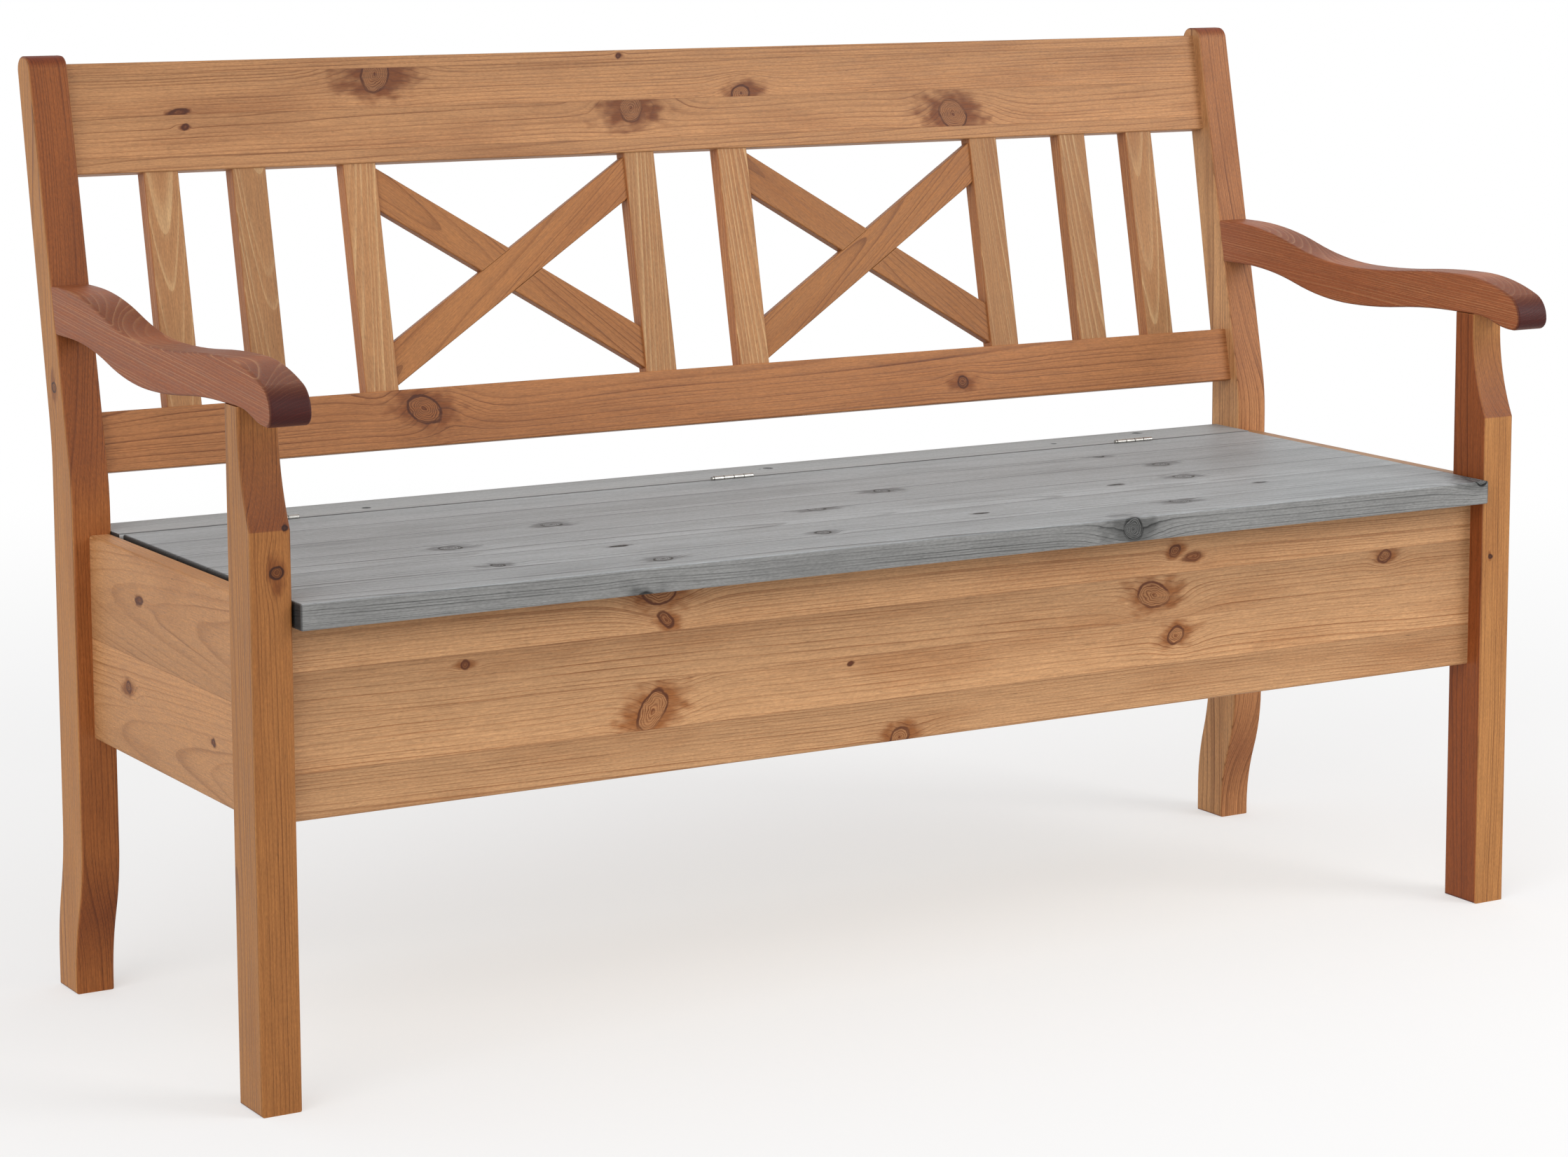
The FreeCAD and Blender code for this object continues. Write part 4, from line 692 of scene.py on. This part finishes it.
def makeMetal(name):
    look = metals[name]
    material, tree = newMaterial(name)
    place = addNode(tree, "ShaderNodeTexCoord")
    sizes = (metalLook["along"], look["scratch"], metalLook["blotch"])
    along, across, blotches = (1 / (size * mm) for size in sizes)
    marks = addNode(tree, "ShaderNodeMapping",
                    {"Vector": place.outputs["Object"], "Scale": (along, across, across)})
    noise = addNode(tree, "ShaderNodeTexNoise", {"Vector": marks, "Scale": 1.0, "Detail": 3.0})
    blotch = addNode(tree, "ShaderNodeTexNoise",
                     {"Vector": place.outputs["Object"], "Scale": blotches, "Detail": 2.0})
    colour = addNode(tree, "ShaderNodeMix", {0: blotch, 6: linearColour(look["colour"]),
                                             7: linearColour(look["dark"])}, data_type="RGBA")
    # painted shade along the edges, for the gaps between knuckles, mixed with old oil
    dust = edgeShare(tree, look["dust"], metalLook["dustShare"])
    oiledAndShaded = addNode(tree, "ShaderNodeMix",
                     {0: dust, 6: colour.outputs[2], 7: linearColour(metalLook["oldDust"])}, data_type="RGBA")
    smooth, coarse = look["rough"]
    rough = addNode(tree, "ShaderNodeMapRange",
                    {"Value": noise, "To Min": smooth, "To Max": coarse, **metalLook["shine"]})
    relief = addNode(tree, "ShaderNodeBump", {"Height": noise, "Strength": metalLook["relief"],
                                              "Distance": metalLook["reliefHeight"] * mm})
    surface = addNode(tree, "ShaderNodeBsdfPrincipled", {"Base Color": oiledAndShaded.outputs[2], "Roughness": rough,
                                                         "Metallic": 1.0, "Normal": relief})
    addNode(tree, "ShaderNodeOutputMaterial", {0: surface})
    return material


nickel = makeMetal("nickelPlatedSteel")
zinc = makeMetal("zincPlatedSteel")
for name, piece in nodes.items():
    if name.startswith("hinge_leaf") or name.startswith("hinge_pin"):
        piece.data.materials.clear()
        piece.data.materials.append(nickel)
print("metal finished")

# countersunk screws with a cross recess, mm: radii of head and shank, length, reach and width of the cross
screwSizes = {
    "wood": {"head": 4.0, "shank": 2.0, "length": 34.0, "cross": 2.4, "arm": 1.1, "deep": 1.7},
    "hinge": {"head": 2.6, "shank": 1.3, "length": 14.0, "cross": 1.6, "arm": 0.75, "deep": 1.1},
}
screwShape = {
    "facets": 28,
    "thread": 0.9,  # the threaded part's radius, as a share of the shank's
    "point": 4.1, "tip": 0.1, "overlap": 0.05,  # mm
    "crossReach": 0.95, "crossArm": 0.7,  # the cutter's size, as shares of the screw's cross
    "crossTaper": (0.5, 1.0),  # at the bottom of the recess, and as far above the face
    "turn": 1.9,  # radians from one screw to the next
}
# middle of each head's face, mm, and the way it looks
hingeRow = [x + step for x in (-504, 0, 504) for step in (-15, 0, 15)]
screwGroups = {
    "cleat_screws": {
        "size": "wood", "body": "frame",
        "places": [((x, -188.859, 267), (0, 1, 0)) for x in (-549, -183, 183, 549)]
        + [((x, 176.141, 267), (0, -1, 0)) for x in (-549, -183, 183, 549)]
        + [((-642 * side, y, 267), (side, 0, 0)) for side in (1, -1) for y in (-106.359, 93.641)],
    },
    "batten_screws": {
        "size": "wood", "body": "lid",
        "places": [((x, y, 412.5), (0, 0, -1)) for x in (-420, 420) for y in (-138.859, -18.859, 101.141)],
    },
    "hinge_screws_fixed": {
        "size": "hinge", "body": "frame", "places": [((x, 162.441, 444.2), (0, -1, 0)) for x in hingeRow],
    },
    "hinge_screws_lid": {
        "size": "hinge", "body": "lid", "places": [((x, 161.841, 444.2), (0, 1, 0)) for x in hingeRow],
    },
}


def makeScrewMesh(name, size):
    # head's face at the origin, looking up
    shape = bmesh.new()
    sunk = size["head"] - size["shank"]
    thread = size["shank"] * screwShape["thread"]
    point = screwShape["point"]
    lap = screwShape["overlap"]
    for deep, below, above, start in (
        (sunk, size["shank"], size["head"], 0),
        (size["length"] - sunk - point + 2 * lap, thread, thread, sunk - lap),
        (point, screwShape["tip"], thread, size["length"] - point),
    ):
        bmesh.ops.create_cone(shape, cap_ends=True, segments=screwShape["facets"], radius1=below,
                              radius2=above, depth=deep, matrix=Matrix.Translation((0, 0, -start - deep / 2)))
    bmesh.ops.recalc_face_normals(shape, faces=shape.faces)
    mesh = bpy.data.meshes.new(name)
    shape.to_mesh(mesh)
    shape.free()
    # the driver's cross: two tapered bars sunk into the face, each a four-sided cone
    cutter = bmesh.new()
    narrow, wide = screwShape["crossTaper"]
    spread = (size["cross"] * math.sqrt(2) * screwShape["crossReach"],
              size["arm"] * math.sqrt(2) * screwShape["crossArm"], 1)
    for turned in (0, 90):
        bar = bmesh.ops.create_cone(cutter, cap_ends=True, segments=4, radius1=narrow, radius2=wide,
                                    depth=size["deep"] * 2)["verts"]
        bmesh.ops.rotate(cutter, verts=bar, matrix=Matrix.Rotation(math.radians(45), 3, "Z"))
        bmesh.ops.scale(cutter, verts=bar, vec=spread)
        bmesh.ops.rotate(cutter, verts=bar, matrix=Matrix.Rotation(math.radians(turned + 45), 3, "Z"))
    crossMesh = bpy.data.meshes.new(name + "Cross")
    cutter.to_mesh(crossMesh)
    cutter.free()
    blank = bpy.data.objects.new(name + "Blank", mesh)
    cross = bpy.data.objects.new(name + "Cross", crossMesh)
    for made in (blank, cross):
        bpy.context.scene.collection.objects.link(made)
    cut = blank.modifiers.new("crossRecess", "BOOLEAN")
    cut.object = cross
    cut.operation = "DIFFERENCE"
    cut.solver = "EXACT"
    cut.use_self = True
    ready = bpy.data.meshes.new_from_object(blank.evaluated_get(bpy.context.evaluated_depsgraph_get()))
    for made in (blank, cross):
        bpy.data.objects.remove(made)
    return ready


for name, group in screwGroups.items():
    single = makeScrewMesh(group["size"] + "Screw", screwSizes[group["size"]])
    shape = bmesh.new()
    for number, (place, way) in enumerate(group["places"]):
        before = len(shape.verts)
        shape.from_mesh(single)
        shape.verts.ensure_lookup_table()
        verts = shape.verts[before:]
        # every screw stops at another angle
        bmesh.ops.rotate(shape, verts=verts, matrix=Matrix.Rotation(screwShape["turn"] * number, 3, "Z"))
        bmesh.ops.rotate(shape, verts=verts, matrix=Vector(way).to_track_quat("Z", "Y").to_matrix())
        bmesh.ops.scale(shape, verts=verts, vec=(mm, mm, mm))
        bmesh.ops.translate(shape, verts=verts, vec=Vector(place) * mm)
    mesh = bpy.data.meshes.new(name.replace("_", "") + "Mesh")
    shape.to_mesh(mesh)
    shape.free()
    screws = bpy.data.objects.new("crossHead_" + name, mesh)
    mesh.materials.append(zinc)
    bpy.context.scene.collection.objects.link(screws)
    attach(screws, group["body"])
    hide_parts(name)
    print("screws made:", name, len(mesh.polygons), "faces")

# floor, backdrop and light
studio = {
    "floorRadius": 14.0,  # metres
    "paper": 0.8,  # how pale the floor is for the light that it throws back, and for the camera
    "paperSeen": 0.97,
    # metres from the middle: where the floor starts to clear to white, and where it is white
    "clearing": {"From Min": 1.3, "From Max": 3.2},
    "shadowShare": 0.5,  # how much of the floor's shadow the camera sees
    "sky": 0.66,  # world light on the object
    # a softbox on the right: watts, metres
    "softbox": {"power": 64, "wide": 2.0, "place": (2.6, -3.0, 2.4), "looksAt": (0, 0, 0.5)},
    # a soft sun from the left: strength, how soft and how turned, degrees
    "fill": {"strength": 0.98, "soft": 50, "turned": (64, 0, -56)},
}


def seenAsWhite(tree):
    # 1 for the camera's own rays and for those that metal or glass sends on
    path = addNode(tree, "ShaderNodeLightPath")
    seen = path.outputs["Is Camera Ray"]
    for kind in ("Is Glossy Ray", "Is Transmission Ray"):
        seen = addNode(tree, "ShaderNodeMath", {0: seen, 1: path.outputs[kind]}, operation="ADD",
                       use_clamp=True).outputs[0]
    return seen


floorMesh = bpy.data.meshes.new("studioFloor")
shape = bmesh.new()
bmesh.ops.create_circle(shape, cap_ends=True, segments=96, radius=studio["floorRadius"])
shape.to_mesh(floorMesh)
shape.free()
floor = bpy.data.objects.new("studioFloor", floorMesh)
bpy.context.scene.collection.objects.link(floor)

# matt white paper
paper, tree = newMaterial("whitePaperFloor")
place = addNode(tree, "ShaderNodeTexCoord")
reach = addNode(tree, "ShaderNodeVectorMath", {0: place.outputs["Object"]}, operation="LENGTH")
clear = addNode(tree, "ShaderNodeMapRange", {"Value": reach.outputs["Value"], **studio["clearing"]},
                interpolation_type="SMOOTHSTEP")
cleared = addNode(tree, "ShaderNodeMapRange",
                  {"Value": clear, "To Min": 1 - studio["shadowShare"], "To Max": 1.0})
whiteShare = addNode(tree, "ShaderNodeMath", {0: seenAsWhite(tree), 1: cleared}, operation="MULTIPLY",
                     use_clamp=True)
path = addNode(tree, "ShaderNodeLightPath")
paperColour = addNode(tree, "ShaderNodeMix",
                      {0: path.outputs["Is Camera Ray"], 6: [studio["paper"]] * 3 + [1],
                       7: [studio["paperSeen"]] * 3 + [1]}, data_type="RGBA")
matt = addNode(tree, "ShaderNodeBsdfDiffuse", {"Color": paperColour.outputs[2]})
white = addNode(tree, "ShaderNodeEmission", {"Strength": 1.0})
both = addNode(tree, "ShaderNodeMixShader", {0: whiteShare, 1: matt, 2: white})
addNode(tree, "ShaderNodeOutputMaterial", {0: both})
floorMesh.materials.append(paper)

world = bpy.data.worlds.new("studioWorld")
bpy.context.scene.world = world
world.use_nodes = True
tree = world.node_tree
tree.nodes.clear()
sky = addNode(tree, "ShaderNodeBackground", {"Color": (1, 1, 1, 1), "Strength": studio["sky"]})
backdrop = addNode(tree, "ShaderNodeBackground", {"Color": (1, 1, 1, 1), "Strength": 1.0})
mixed = addNode(tree, "ShaderNodeMixShader", {0: seenAsWhite(tree), 1: sky, 2: backdrop})
addNode(tree, "ShaderNodeOutputWorld", {0: mixed})

box = studio["softbox"]
softbox = bpy.data.objects.new("softbox", bpy.data.lights.new("softbox", "AREA"))
softbox.data.energy = box["power"]
softbox.data.size = box["wide"]
softbox.location = box["place"]
softbox.rotation_euler = (Vector(box["looksAt"]) - Vector(box["place"])).to_track_quat("-Z", "Y").to_euler()
fill = bpy.data.objects.new("fillSun", bpy.data.lights.new("fillSun", "SUN"))
fill.data.energy = studio["fill"]["strength"]
fill.data.angle = math.radians(studio["fill"]["soft"])
fill.rotation_euler = [math.radians(a) for a in studio["fill"]["turned"]]
for lamp in (softbox, fill):
    bpy.context.scene.collection.objects.link(lamp)
bpy.context.scene.view_settings.view_transform = "Standard"
print("studio set")
